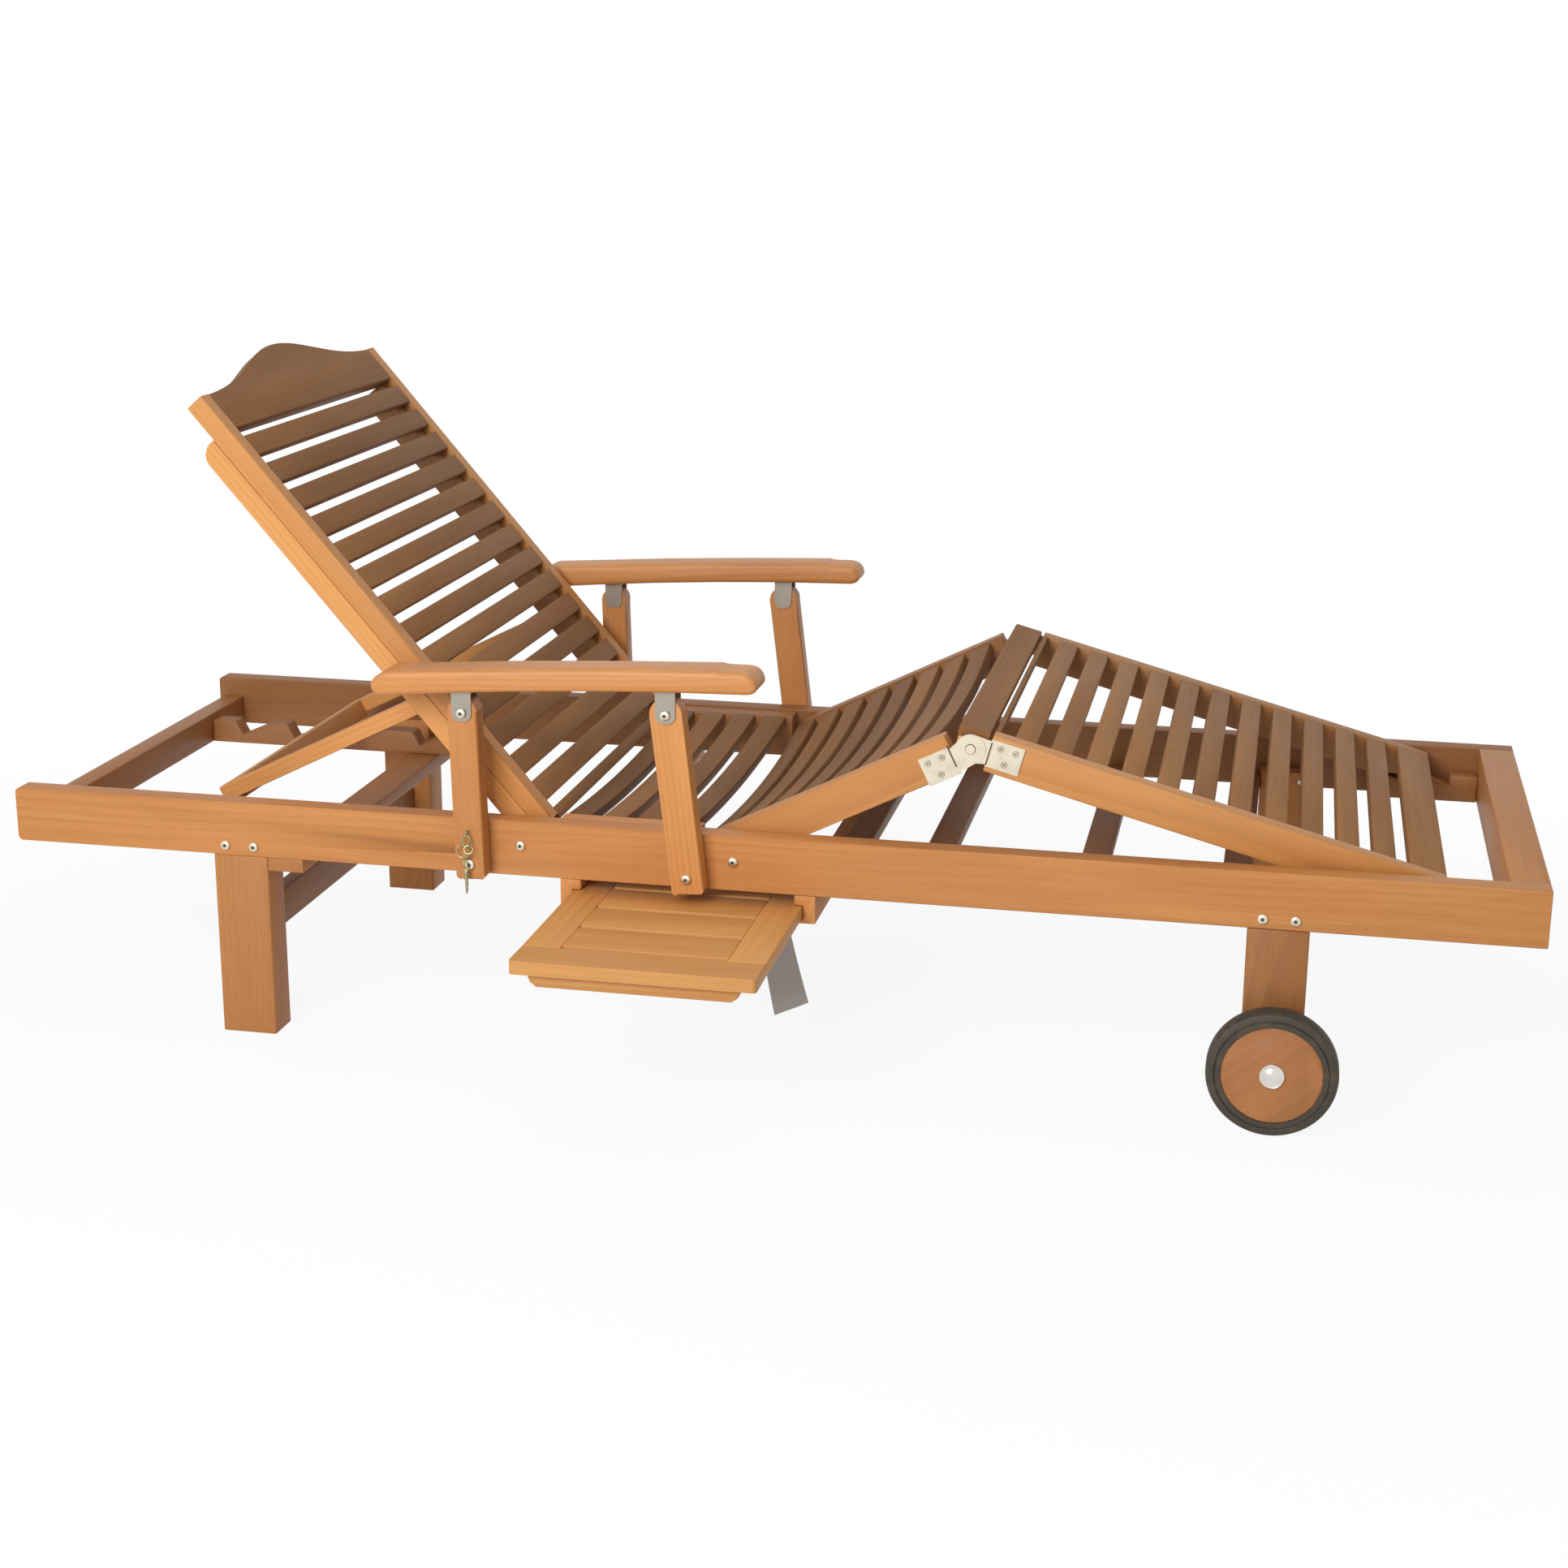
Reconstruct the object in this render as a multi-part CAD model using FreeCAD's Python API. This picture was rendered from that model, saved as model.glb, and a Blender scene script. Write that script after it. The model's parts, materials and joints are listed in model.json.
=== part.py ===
import FreeCAD, Part
import math
import os

# A hardwood sun lounger: a long frame on legs and two wheels, with a raised slatted back on a
# notched prop, a fixed dished seat, a two-part leg rest, folding arms and a pull-out side tray.
# Working frame: X from the head end to the foot end, Y across from the centre plane (near side
# negative), Z up from the ground. Millimetres.
V = FreeCAD.Vector

# Main frame
LENGTH = 2000.0
WIDTH = 692.0
RAIL_THICK = 29.0
RAIL_HIGH = 73.5
RAIL_TOP = 326.0
RAIL_END_ROUND = 7.0
HEAD_RAIL_X = 9.0
HEAD_RAIL_WIDE = 31.0
HEAD_RAIL_DROP = 29.0
FOOT_RAIL_WIDE = 48.0

# Legs
LEG_WIDE = 76.0
LEG_THICK = 54.0
HEAD_LEG_X = 283.0
FOOT_LEG_BACK = 357.0
LEG_BOLT_SIDE = 18.0
LEG_BOLT_DROP = 60.0
LEG_EDGE = 3.0
FOOT_LEG_LIFT = 50.0
TONGUE_DROP = 45.0
FLAT_BAR_WIDE = 50.0
FLAT_BAR_THICK = 19.0
STRETCHER_HIGH = 50.0
STRETCHER_THICK = 22.0
STRETCHER_LIFT = 120.0

# Flat bars under the leg rest, spread from the first one to the foot legs
UNDER_BAR_FIRST = 1103.0
UNDER_BAR_SHARES = [0.0, 0.225, 0.633, 1.0]
UNDER_BAR_WIDE = 37.0
UNDER_BAR_THICK = 18.0

# Moving frames run in one lane beside the rails
LANE_GAP = 7.0
STILE_THICK = 26.0
BATTEN_THICK = 28.0

# Backrest
BACK_PIVOT_X = 711.6
BACK_PIVOT_DROP = 32.0
BACK_ANGLE = 49.28
BACK_FACE = 43.4
BACK_LONG = 705.0
BACK_STILE_DEEP = 26.0
REAR_BAR_DEEP = 27.0
REAR_BAR_START = 52.0
BATTEN_DEEP = 34.0
SLAT_THICK = 14.0
BACK_SLAT_WIDE = 31.4
BACK_SLAT_GAP = 13.4
BACK_FOOT = 7.0
LAST_SLAT_LEAST = 4.0
CREST_BOTTOM = 55.4
CREST_RISE = 46.3
CREST_THICK = 22.0
CREST_FALL = 3.1

# Prop of the backrest and its racks
PROP_PIVOT_UP = 219.0
PROP_PIVOT_HIGH = 5.4
PROP_BAR_X = 256.5
PROP_BAR_DROP = 20.3
PROP_GAP = 4.0
PROP_THICK = 22.0
PROP_DEEP = 22.0
PROP_BAR_THICK = 22.0
PROP_BAR_BELOW = 17.0
RACK_INSET = 25.0
RACK_THICK = 30.0
RACK_DROP = 39.0
RACK_END_X = 430.0
RACK_NOTCHES = [89.0, 174.0, 276.0, 378.0]
NOTCH_DEEP = 22.0
NOTCH_STEEP = 26.0
NOTCH_SLOPE = 24.0
PIVOT_R = 4.0
RUN_FIT = 0.05
WASHER_FIT = 0.3
WASHER_R = 8.0
POST_SEAT = 10.0

# Seat
SEAT_X0 = 756.0
SEAT_X1 = 943.0
SEAT_SIDE_HIGH = 60.0
SEAT_DROP = 3.0
SEAT_EDGE = 3.0
SEAT_SLAT_X = 758.0
SEAT_SLAT_WIDE = 32.0
SEAT_SLAT_PITCH = 47.5
SEAT_SLATS = 4
DISH_SAG = 12.0

# Thigh part of the leg rest
THIGH_PIVOT_X = 994.1
THIGH_PIVOT_DROP = 34.5
THIGH_ANGLE = 26.5
THIGH_FACE = 37.8
THIGH_DEEP = 50.0
THIGH_BACK = 32.0
KNEE_REACH = 336.35
KNEE_UP = 9.8
KNEE_CLEAR = 24.3
THIGH_SLAT_FIRST = -29.9
THIGH_SLAT_WIDE = 29.0
THIGH_SLAT_PITCH = 41.9
THIGH_SLATS = 8

# Calf part of the leg rest
CALF_TIP_DROP = 7.0
CALF_FACE = 24.5
CALF_DEEP = 48.0
CALF_START = 22.5
CALF_FOOT_GAP = 18.55
CALF_GAP_FIRST = 39.0
CALF_PITCH = 46.3
CALF_GAP = 18.3
CALF_END_LEAST = 28.0
CALF_RIDE = 0.5
KNEE_BOARD_BACK = 22.0
KNEE_BOARD_FRONT = 18.3
KNEE_BOARD_THICK = 14.0
KNEE_BLOCK_BELOW = 8.0
KNEE_BLOCK_IN = 2.0
KNEE_END_IN = 5.0
KNEE_EDGE = 3.0

# Racks that hold the foot end of the leg rest
LEG_RACK_LONG = 152.0
LEG_RACK_DROP = 36.0
LEG_RACK_ROOT = 54.5
LEG_RACK_LAST = 40.0
LEG_RACK_PITCH = 45.0
LEG_RACK_SLOPE = 20.0
LEG_RACK_TEETH = 2
LEG_RACK_CROWN = 2.0
LEG_RACK_THICK = 30.0

# Knee leaves
LEAF = 2.2
KNUCKLE_R = 19.0
RIVET_R = 6.0
RIVET_HIGH = 1.6
LEAF_STEP = 4.0
LEAF_WAIST = 3.0
LEAF_LIFT = 0.2
THIGH_LEAF_END = 68.0
THIGH_LEAF_LOW = 24.8
THIGH_LEAF_HIGH = 12.8
CALF_LEAF_END = 65.6
CALF_LEAF_LOW = 16.0
CALF_LEAF_HIGH = 20.0
LEAF_SCREW_R = 3.6
LEAF_SCREW_HIGH = 0.9
LEAF_SCREW_IN = 10.0
LEAF_SCREW_APART = 20.0
LEAF_SCREW_EDGE = 9.0

# Arms and their posts
POST_GAP = 3.6
POST_THICK = 26.0
REAR_POST_FOOT_X = 652.2
REAR_POST_HEAD_X = 646.8
REAR_POST_WIDE = 38.5
FRONT_POST_FOOT_X = 939.9
FRONT_POST_HEAD_X = 914.1
FRONT_POST_WIDE = 42.0
POST_FOOT_DROP = 52.5
REAR_POST_RISE = 149.0
FRONT_POST_RISE = 161.4
POST_TAIL = 21.0
POST_CORNER = 6.0
LINK_PLAY = 2.3
ARM_INSET = 19.6
ARM_WIDE = 60.0
ARM_REAR_OVER = 101.8
ARM_FRONT_OVER = 104.9
ARM_REAR_UP = 168.0
ARM_FRONT_UP = 195.0
ARM_UNDER_ARCH = 4.9
ARM_OVER_ARCH = 2.2
ARM_REAR_DEEP = 33.0
ARM_FRONT_DEEP = 29.0
ARM_REAR_SLANT = 12.0
ARM_FRONT_SLANT = 39.0
ARM_TAIL = 16.0
ARM_NOSE = 14.0
STRAP = 2.0
STRAP_WIDE = 26.0
STRAP_DROP = 11.0
STRAP_FIT = 0.3
STRAP_SEAT = 0.05
BOLT_R = 3.0
HEAD_R = 6.0
HEAD_THICK = 3.0

# Side tray and its runners
TRAY_X0 = 781.0
TRAY_X1 = 1085.0
TRAY_OUT = 276.0
TRAY_LONG = 400.0
TRAY_THICK = 17.0
TRAY_DROP = 88.0
TRAY_STILE = 48.0
TRAY_FRONT_RAIL = 58.0
TRAY_REAR_RAIL = 29.0
TRAY_CORNER = 6.0
TRAY_SLAT_SUNK = 2.0
TRAY_SLATS = 4
TRAY_GAP = 8.0
RUNNER_DEEP = 37.5
RUNNER_WIDE = 28.0
GROOVE_DEEP = 11.0
GROOVE_CLEAR = 0.8
GROOVE_UNDER = 0.3
APRON_HIGH = 17.0
APRON_THICK = 30.0
APRON_INSET = 20.0
APRON_BACK = 8.0
APRON_BEVEL = 12.0

# Wheels
WHEEL_BACK = 316.0
WHEEL_R = 81.0
DISC_R = 62.5
WHEEL_THICK = 32.0
WHEEL_GAP = 20.0
DISC_EDGE = 2.0
TYRE_SHOULDER = 7.0
AXLE_R = 6.0
CAP_R = 16.0
CAP_HIGH = 6.0

# Screw eye with the locking pin on its ring and chain
PIN_DROP = 21.0
WIRE_R = 1.4
EYE_R = 5.4
EYE_OUT = 7.6
RING_R = 10.4
PIN_R = 3.0
PIN_LONG = 38.0

HALF = WIDTH / 2
RAIL_IN = HALF - RAIL_THICK
RAIL_BOTTOM = RAIL_TOP - RAIL_HIGH
LANE_OUT = RAIL_IN - LANE_GAP
LANE_IN = LANE_OUT - STILE_THICK
SLAT_REACH = LANE_IN - BATTEN_THICK
PROP_OUT = SLAT_REACH - PROP_GAP
RACK_OUT = PROP_OUT - RACK_INSET
POST_IN = HALF + POST_GAP
POST_OUT = POST_IN + POST_THICK
ARM_IN = POST_IN - ARM_INSET
FOOT_LEG_X = LENGTH - FOOT_LEG_BACK
WHEEL_X = LENGTH - WHEEL_BACK
WHEEL_IN = HALF + WHEEL_GAP
WHEEL_OUT = WHEEL_IN + WHEEL_THICK
TRAY_FRONT = HALF + TRAY_OUT
CALF_LONG = LENGTH - FOOT_RAIL_WIDE - CALF_FOOT_GAP - THIGH_PIVOT_X - KNEE_REACH
SHIFT_X = -LENGTH / 2
SHIFT_Y = (TRAY_FRONT - WHEEL_OUT - CAP_HIGH) / 2
BACK_PIVOT = V(BACK_PIVOT_X, 0, RAIL_TOP - BACK_PIVOT_DROP)
THIGH_PIVOT = V(THIGH_PIVOT_X, 0, RAIL_TOP - THIGH_PIVOT_DROP)
Y_AXIS = V(0, 1, 0)


def box(x0, x1, y0, y1, z0, z1):
    """Block between two corners."""
    return Part.makeBox(x1 - x0, y1 - y0, z1 - z0, V(x0, y0, z0))


def rod(radius, start, end):
    """Round bar from one point to another."""
    run = end - start
    return Part.makeCylinder(radius, run.Length, start, run)


def prism(outline, y0, y1):
    """Outline of (x, z) points, extruded across from y0 to y1."""
    points = [V(x, y0, z) for x, z in outline]
    face = Part.Face(Part.makePolygon(points + points[:1]))
    return face.extrude(V(0, y1 - y0, 0))


def mirrored(shape):
    """The same piece on the far side."""
    return shape.mirror(V(0, 0, 0), Y_AXIS)


def both(shape):
    return [shape, mirrored(shape)]


def along(shape, direction):
    """Edges of a shape that run along a direction."""
    edges = []
    for edge in shape.Edges:
        if edge.Curve.TypeId == "Part::GeomLine":
            run = edge.tangentAt(edge.FirstParameter)
            if abs(run.dot(direction)) > 0.999:
                edges.append(edge)
    return edges


def turned(shapes, pivot, degrees):
    """Pieces built about the origin, turned about the cross axis and set at a pivot."""
    placement = FreeCAD.Placement(pivot, FreeCAD.Rotation(Y_AXIS, degrees))
    result = []
    for shape in shapes:
        moved = shape.copy()
        moved.Placement = placement.multiply(moved.Placement)
        result.append(moved)
    return result


def turned_point(x, z, pivot, degrees):
    return pivot + FreeCAD.Rotation(Y_AXIS, degrees).multVec(V(x, 0, z))


def write(name, shapes):
    """Move the pieces of one sub-part to the row frame and write them."""
    solids = []
    for shape in shapes:
        solids.extend(shape.Solids)
    compound = Part.makeCompound(solids)
    compound.translate(V(SHIFT_X, SHIFT_Y, 0))
    compound.exportStep("parts/" + name + ".step")


def write_pair(name, shapes):
    """A near and a far sub-part from the near pieces."""
    write(name + "_near", shapes)
    write(name + "_far", [mirrored(shape) for shape in shapes])


def bored(shape, holes):
    for hole in holes:
        shape = shape.cut(hole)
    return shape


def cross_hole(x, z, radius, y0, y1):
    return Part.makeCylinder(radius, y1 - y0, V(x, y0, z), Y_AXIS)


def spun(outline, x, z):
    """Outline of (radius, y) points turned about a cross axis through (x, z)."""
    points = [V(x + radius, y, z) for radius, y in outline]
    face = Part.Face(Part.makePolygon(points + points[:1]))
    return face.revolve(V(x, 0, z), Y_AXIS, 360)


def dished_slat(x0, x1, reach, top, thick):
    """Slat whose upper face sags along an arc towards its middle."""
    corner_a = V(x0, -reach, top)
    corner_b = V(x0, reach, top)
    middle = V(x0, 0, top - DISH_SAG)
    down = V(0, 0, -thick)
    over = Part.Arc(corner_a, middle, corner_b).toShape()
    under = Part.Arc(corner_b + down, middle + down, corner_a + down).toShape()
    end_b = Part.makeLine(corner_b, corner_b + down)
    end_a = Part.makeLine(corner_a + down, corner_a)
    face = Part.Face(Part.Wire([over, end_b, under, end_a]))
    return face.extrude(V(x1 - x0, 0, 0))


def leg_bolts():
    """Places of the bolts through the rails into the legs."""
    places = []
    for x in (HEAD_LEG_X, FOOT_LEG_X):
        places.append(x + LEG_BOLT_SIDE)
        places.append(x + LEG_WIDE - LEG_BOLT_SIDE)
    return places


def bolt_holes():
    z = RAIL_TOP - LEG_BOLT_DROP
    return [cross_hole(x, z, BOLT_R, -HALF - 1, -HALF + LEG_THICK + 1) for x in leg_bolts()]


def frame_bolts():
    z = RAIL_TOP - LEG_BOLT_DROP
    bolts = []
    for x in leg_bolts():
        shank = cross_hole(x, z, BOLT_R, -HALF, -HALF + LEG_THICK)
        head = cross_hole(x, z, HEAD_R, -HALF - HEAD_THICK, -HALF)
        bolts.extend(both(shank.fuse(head).removeSplitter()))
    return bolts


def rail():
    bar = box(0, LENGTH, -HALF, -RAIL_IN, RAIL_BOTTOM, RAIL_TOP)
    ends = [edge for edge in along(bar, Y_AXIS) if edge.BoundBox.XMax < 1]
    bar = bar.makeFillet(RAIL_END_ROUND, ends)
    pivots = [(BACK_PIVOT.x, BACK_PIVOT.z), (THIGH_PIVOT.x, THIGH_PIVOT.z)]
    holes = bolt_holes()
    for x, z in pivots:
        holes.append(cross_hole(x, z, PIVOT_R, -HALF - 1, -RAIL_IN + 1))
    for x in (REAR_POST_FOOT_X, FRONT_POST_FOOT_X):
        holes.append(cross_hole(x, RAIL_TOP - POST_FOOT_DROP, PIVOT_R, -HALF - 1, -HALF + POST_SEAT))
    return bored(bar, holes)


def leg(x, bottom):
    outer = box(x, x + LEG_WIDE, -HALF, -RAIL_IN, bottom, RAIL_BOTTOM)
    inner = box(x, x + LEG_WIDE, -RAIL_IN, -HALF + LEG_THICK, bottom, RAIL_TOP - TONGUE_DROP)
    post = outer.fuse(inner).removeSplitter()
    inside = -HALF + LEG_THICK - 1
    long_edges = [edge for edge in along(post, V(0, 0, 1)) if edge.BoundBox.YMax > inside]
    post = post.makeChamfer(LEG_EDGE, long_edges)
    return bored(post, bolt_holes())


def axle_hole():
    return cross_hole(WHEEL_X, WHEEL_R, AXLE_R, -HALF - 1, -HALF + LEG_THICK + 1)


def under_bars():
    bars = []
    run = FOOT_LEG_X - UNDER_BAR_WIDE - UNDER_BAR_FIRST
    for share in UNDER_BAR_SHARES:
        x = UNDER_BAR_FIRST + run * share
        top = RAIL_BOTTOM + UNDER_BAR_THICK
        bars.append(box(x, x + UNDER_BAR_WIDE, -RAIL_IN, RAIL_IN, RAIL_BOTTOM, top))
    return bars


def prop_rack():
    """Toothed bar: each notch has a steep face that the prop leans on and a long rising slope."""
    top = RAIL_TOP - RACK_DROP
    outline = [(HEAD_RAIL_X + HEAD_RAIL_WIDE, RAIL_BOTTOM), (HEAD_RAIL_X + HEAD_RAIL_WIDE, top)]
    for root in RACK_NOTCHES:
        lean = NOTCH_DEEP * math.tan(math.radians(NOTCH_STEEP))
        ramp = NOTCH_DEEP / math.tan(math.radians(NOTCH_SLOPE))
        end = min(root + ramp, RACK_END_X)
        outline.append((root - lean, top))
        outline.append((root, top - NOTCH_DEEP))
        outline.append((end, top - (root + ramp - end) * math.tan(math.radians(NOTCH_SLOPE))))
    outline.append((RACK_END_X, top))
    outline.append((RACK_END_X, RAIL_BOTTOM))
    return prism(outline, -RACK_OUT, -RACK_OUT + RACK_THICK)


def leg_rack():
    """Short saw-toothed block beside the rail that stops the foot end of the leg rest."""
    top = RAIL_TOP - LEG_RACK_DROP
    root = RAIL_TOP - LEG_RACK_ROOT
    end = LENGTH - FOOT_RAIL_WIDE
    start = end - LEG_RACK_LONG
    slope = math.tan(math.radians(LEG_RACK_SLOPE))
    outline = [(start, RAIL_BOTTOM), (start, top)]
    previous = start
    for number in reversed(range(LEG_RACK_TEETH)):
        face = end - LEG_RACK_LAST - number * LEG_RACK_PITCH
        crown = max(face - (top - root) / slope, previous + LEG_RACK_CROWN)
        outline.append((crown, top))
        outline.append((face, top - (face - crown) * slope))
        outline.append((face, top))
        previous = face
    outline += [(end, top), (end, RAIL_BOTTOM)]
    return prism(outline, -RAIL_IN, -RAIL_IN + LEG_RACK_THICK)


def seat_side():
    top = RAIL_TOP - SEAT_DROP
    bar = box(SEAT_X0, SEAT_X1, -RAIL_IN, -LANE_IN, top - SEAT_SIDE_HIGH, top)
    upper = [edge for edge in along(bar, V(1, 0, 0)) if edge.BoundBox.ZMin > top - 1]
    return bar.makeFillet(SEAT_EDGE, upper)


def seat_slats():
    slats = []
    for number in range(SEAT_SLATS):
        x = SEAT_SLAT_X + number * SEAT_SLAT_PITCH
        slats.append(dished_slat(x, x + SEAT_SLAT_WIDE, LANE_IN, RAIL_TOP - SEAT_DROP, SLAT_THICK))
    return slats


def pivot_pins():
    """Bolts of the backrest and the leg rest, with their washers, and the posts' foot bolts."""
    pins = []
    for pivot in (BACK_PIVOT, THIGH_PIVOT):
        pin = cross_hole(pivot.x, pivot.z, PIVOT_R, -HALF, -LANE_IN)
        washer = cross_hole(pivot.x, pivot.z, WASHER_R, -RAIL_IN, -LANE_OUT - WASHER_FIT)
        head = cross_hole(pivot.x, pivot.z, HEAD_R, -HALF - HEAD_THICK, -HALF)
        pins.extend(both(pin.fuse([washer, head]).removeSplitter()))
    for x in (REAR_POST_FOOT_X, FRONT_POST_FOOT_X):
        z = RAIL_TOP - POST_FOOT_DROP
        outer = -POST_OUT - WASHER_FIT
        pin = cross_hole(x, z, PIVOT_R, outer, -HALF + POST_SEAT)
        washer = cross_hole(x, z, WASHER_R, -POST_IN + WASHER_FIT, -HALF)
        head = cross_hole(x, z, HEAD_R, outer - HEAD_THICK, outer)
        pins.extend(both(pin.fuse([washer, head]).removeSplitter()))
    return pins


def back_stile():
    """Front member of the backrest's side, flat and about the back pivot."""
    low = BACK_FACE - BACK_STILE_DEEP
    bar = box(-BACK_LONG, 0, -LANE_OUT, -LANE_IN, low, BACK_FACE)
    edges = [edge for edge in along(bar, V(1, 0, 0)) if edge.BoundBox.ZMin > BACK_FACE - 1]
    return bar.makeFillet(2.5, edges)


def rear_bar():
    """Rear member below the stile, with a rounded upper end; it carries the back pivot."""
    top = BACK_FACE - BACK_STILE_DEEP
    bottom = top - REAR_BAR_DEEP
    tail = PIVOT_R * 3.2
    bar = box(-BACK_LONG + REAR_BAR_START, tail, -LANE_OUT, -LANE_IN, bottom, top)
    head = [edge for edge in along(bar, Y_AXIS) if edge.BoundBox.XMax < 0 and edge.BoundBox.ZMax < top - 1]
    bar = bar.makeFillet(REAR_BAR_DEEP * 0.8, head)
    foot = [edge for edge in along(bar, Y_AXIS) if edge.BoundBox.XMin > 0]
    bar = bar.makeFillet(9.0, foot)
    return bored(bar, [cross_hole(0, 0, PIVOT_R + RUN_FIT, -LANE_OUT - 1, -LANE_IN + 1)])


def batten():
    """Strip inside the stile that the slats are screwed to; the prop hangs on it."""
    top = BACK_FACE - SLAT_THICK
    bar = box(-BACK_LONG + CREST_BOTTOM, -10.0, -LANE_IN, -SLAT_REACH, top - BATTEN_DEEP, top)
    hole = cross_hole(-PROP_PIVOT_UP, PROP_PIVOT_HIGH, PIVOT_R, -LANE_IN - 1, -SLAT_REACH + 1)
    return bored(bar, [hole])


def crest():
    """Head board with a bell-shaped upper edge."""
    base = -BACK_LONG + CREST_BOTTOM
    edge_x = -BACK_LONG
    points = [V(edge_x, -LANE_IN, BACK_FACE)]
    steps = 16
    for number in range(1, steps):
        y = -LANE_IN + 2 * LANE_IN * number / steps
        points.append(V(edge_x - crest_height(y), y, BACK_FACE))
    points.append(V(edge_x, LANE_IN, BACK_FACE))
    curve = Part.BSplineCurve()
    curve.interpolate(points)
    left = Part.makeLine(V(base, -LANE_IN, BACK_FACE), points[0])
    right = Part.makeLine(points[-1], V(base, LANE_IN, BACK_FACE))
    bottom = Part.makeLine(V(base, LANE_IN, BACK_FACE), V(base, -LANE_IN, BACK_FACE))
    face = Part.Face(Part.Wire([left, curve.toShape(), right, bottom]))
    return face.extrude(V(0, 0, -CREST_THICK))


def crest_height(y):
    """Bell curve: a round crown that runs out into hollow shoulders."""
    share = abs(y) / LANE_IN
    return CREST_RISE * (1 - share ** 4) * math.exp(-CREST_FALL * share * share)


def back_slats():
    slats = []
    pitch = BACK_SLAT_WIDE + BACK_SLAT_GAP
    first = -BACK_LONG + CREST_BOTTOM + BACK_SLAT_GAP
    count = int((BACK_FOOT - LAST_SLAT_LEAST - first) / pitch)
    low = BACK_FACE - SLAT_THICK
    for number in range(count):
        x = first + number * pitch
        slats.append(box(x, x + BACK_SLAT_WIDE, -LANE_IN, LANE_IN, low, BACK_FACE))
    slats.append(box(first + count * pitch, BACK_FOOT, -LANE_IN, LANE_IN, low, BACK_FACE))
    return slats


def prop_pins():
    """Bolts that carry the prop, with their washers."""
    x = -PROP_PIVOT_UP
    z = PROP_PIVOT_HIGH
    end = -PROP_OUT + PROP_THICK + WASHER_FIT
    pin = cross_hole(x, z, PIVOT_R, -LANE_IN, end)
    washer = cross_hole(x, z, WASHER_R, -SLAT_REACH, -PROP_OUT - WASHER_FIT)
    head = cross_hole(x, z, HEAD_R, end, end + HEAD_THICK)
    return both(pin.fuse([washer, head]).removeSplitter())


PROP_PIVOT = turned_point(-PROP_PIVOT_UP, PROP_PIVOT_HIGH, BACK_PIVOT, BACK_ANGLE)
PROP_FALL = PROP_PIVOT.z - (RAIL_TOP - PROP_BAR_DROP)
PROP_RUN = PROP_PIVOT.x - PROP_BAR_X
PROP_LONG = math.hypot(PROP_FALL, PROP_RUN)
PROP_ANGLE = math.degrees(math.atan2(PROP_FALL, PROP_RUN))


def prop_strut():
    half = PROP_DEEP / 2
    bar = box(-PROP_LONG, 0, -PROP_OUT, -PROP_OUT + PROP_THICK, -half, half)
    round_end = cross_hole(0, 0, half, -PROP_OUT, -PROP_OUT + PROP_THICK)
    bar = bar.fuse(round_end).removeSplitter()
    return bored(bar, [cross_hole(0, 0, PIVOT_R + RUN_FIT, -PROP_OUT - 1, -PROP_OUT + PROP_THICK + 1)])


def prop_bar():
    reach = PROP_OUT - PROP_THICK
    bar = box(-PROP_LONG, -PROP_LONG + PROP_BAR_THICK, -reach, reach, -PROP_BAR_BELOW, PROP_DEEP / 2)
    return bar.makeChamfer(1.5, along(bar, Y_AXIS))


def thigh_stile():
    low = THIGH_FACE - THIGH_DEEP
    bar = box(-THIGH_BACK, KNEE_REACH - KNEE_CLEAR, -LANE_OUT, -LANE_IN, low, THIGH_FACE)
    start = [edge for edge in along(bar, Y_AXIS) if edge.BoundBox.XMax < 0]
    bar = bar.makeFillet(20.0, [edge for edge in start if edge.BoundBox.ZMin > 0])
    start = [edge for edge in along(bar, Y_AXIS) if edge.BoundBox.XMax < 0 and edge.BoundBox.ZMax < 0]
    bar = bar.makeFillet(8.0, start)
    return bored(bar, [cross_hole(0, 0, PIVOT_R + RUN_FIT, -LANE_OUT - 1, -LANE_IN + 1)])


def thigh_slats():
    slats = []
    for number in range(THIGH_SLATS):
        x = THIGH_SLAT_FIRST + number * THIGH_SLAT_PITCH
        slats.append(dished_slat(x, x + THIGH_SLAT_WIDE, LANE_IN, THIGH_FACE - 2, SLAT_THICK))
    return slats


def leaf(end, near, low, high, lift):
    """Hinge leaf on the stile's outer face; its tongue runs to the round knuckle at the knee."""
    plate = box(min(end, near), max(end, near), -LANE_OUT - LEAF, -LANE_OUT, low, high)
    toward = 1 if near > end else -1
    y1 = -LANE_OUT - lift
    y0 = y1 - LEAF
    waist = near - toward * LEAF_STEP / 2
    outline = [(waist, low + LEAF_WAIST), (waist, high - LEAF_WAIST), (0, KNUCKLE_R), (0, -KNUCKLE_R)]
    tongue = prism(outline, y0, y1)
    joined = plate.fuse([tongue, cross_hole(0, 0, KNUCKLE_R, y0, y1)])
    if lift > 0:
        root = near - toward * LEAF_STEP
        step = box(min(near, root), max(near, root), y0, -LANE_OUT, low + LEAF_WAIST, high - LEAF_WAIST)
        joined = joined.fuse(step)
    return joined.removeSplitter()


def leaf_screws(end, toward, low, high):
    """Two screws near the leaf's upper edge and one between them near its lower edge."""
    spots = [(end - toward * LEAF_SCREW_IN, high - LEAF_SCREW_EDGE)]
    spots.append((end - toward * (LEAF_SCREW_IN + LEAF_SCREW_APART), high - LEAF_SCREW_EDGE))
    spots.append((end - toward * (LEAF_SCREW_IN + LEAF_SCREW_APART / 2), low + LEAF_SCREW_EDGE))
    screws = []
    face = -LANE_OUT - LEAF
    for x, z in spots:
        screws.extend(both(cross_hole(x, z, LEAF_SCREW_R, face - LEAF_SCREW_HIGH, face)))
    return screws


KNEE_LIFT = LEAF + LEAF_LIFT


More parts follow.
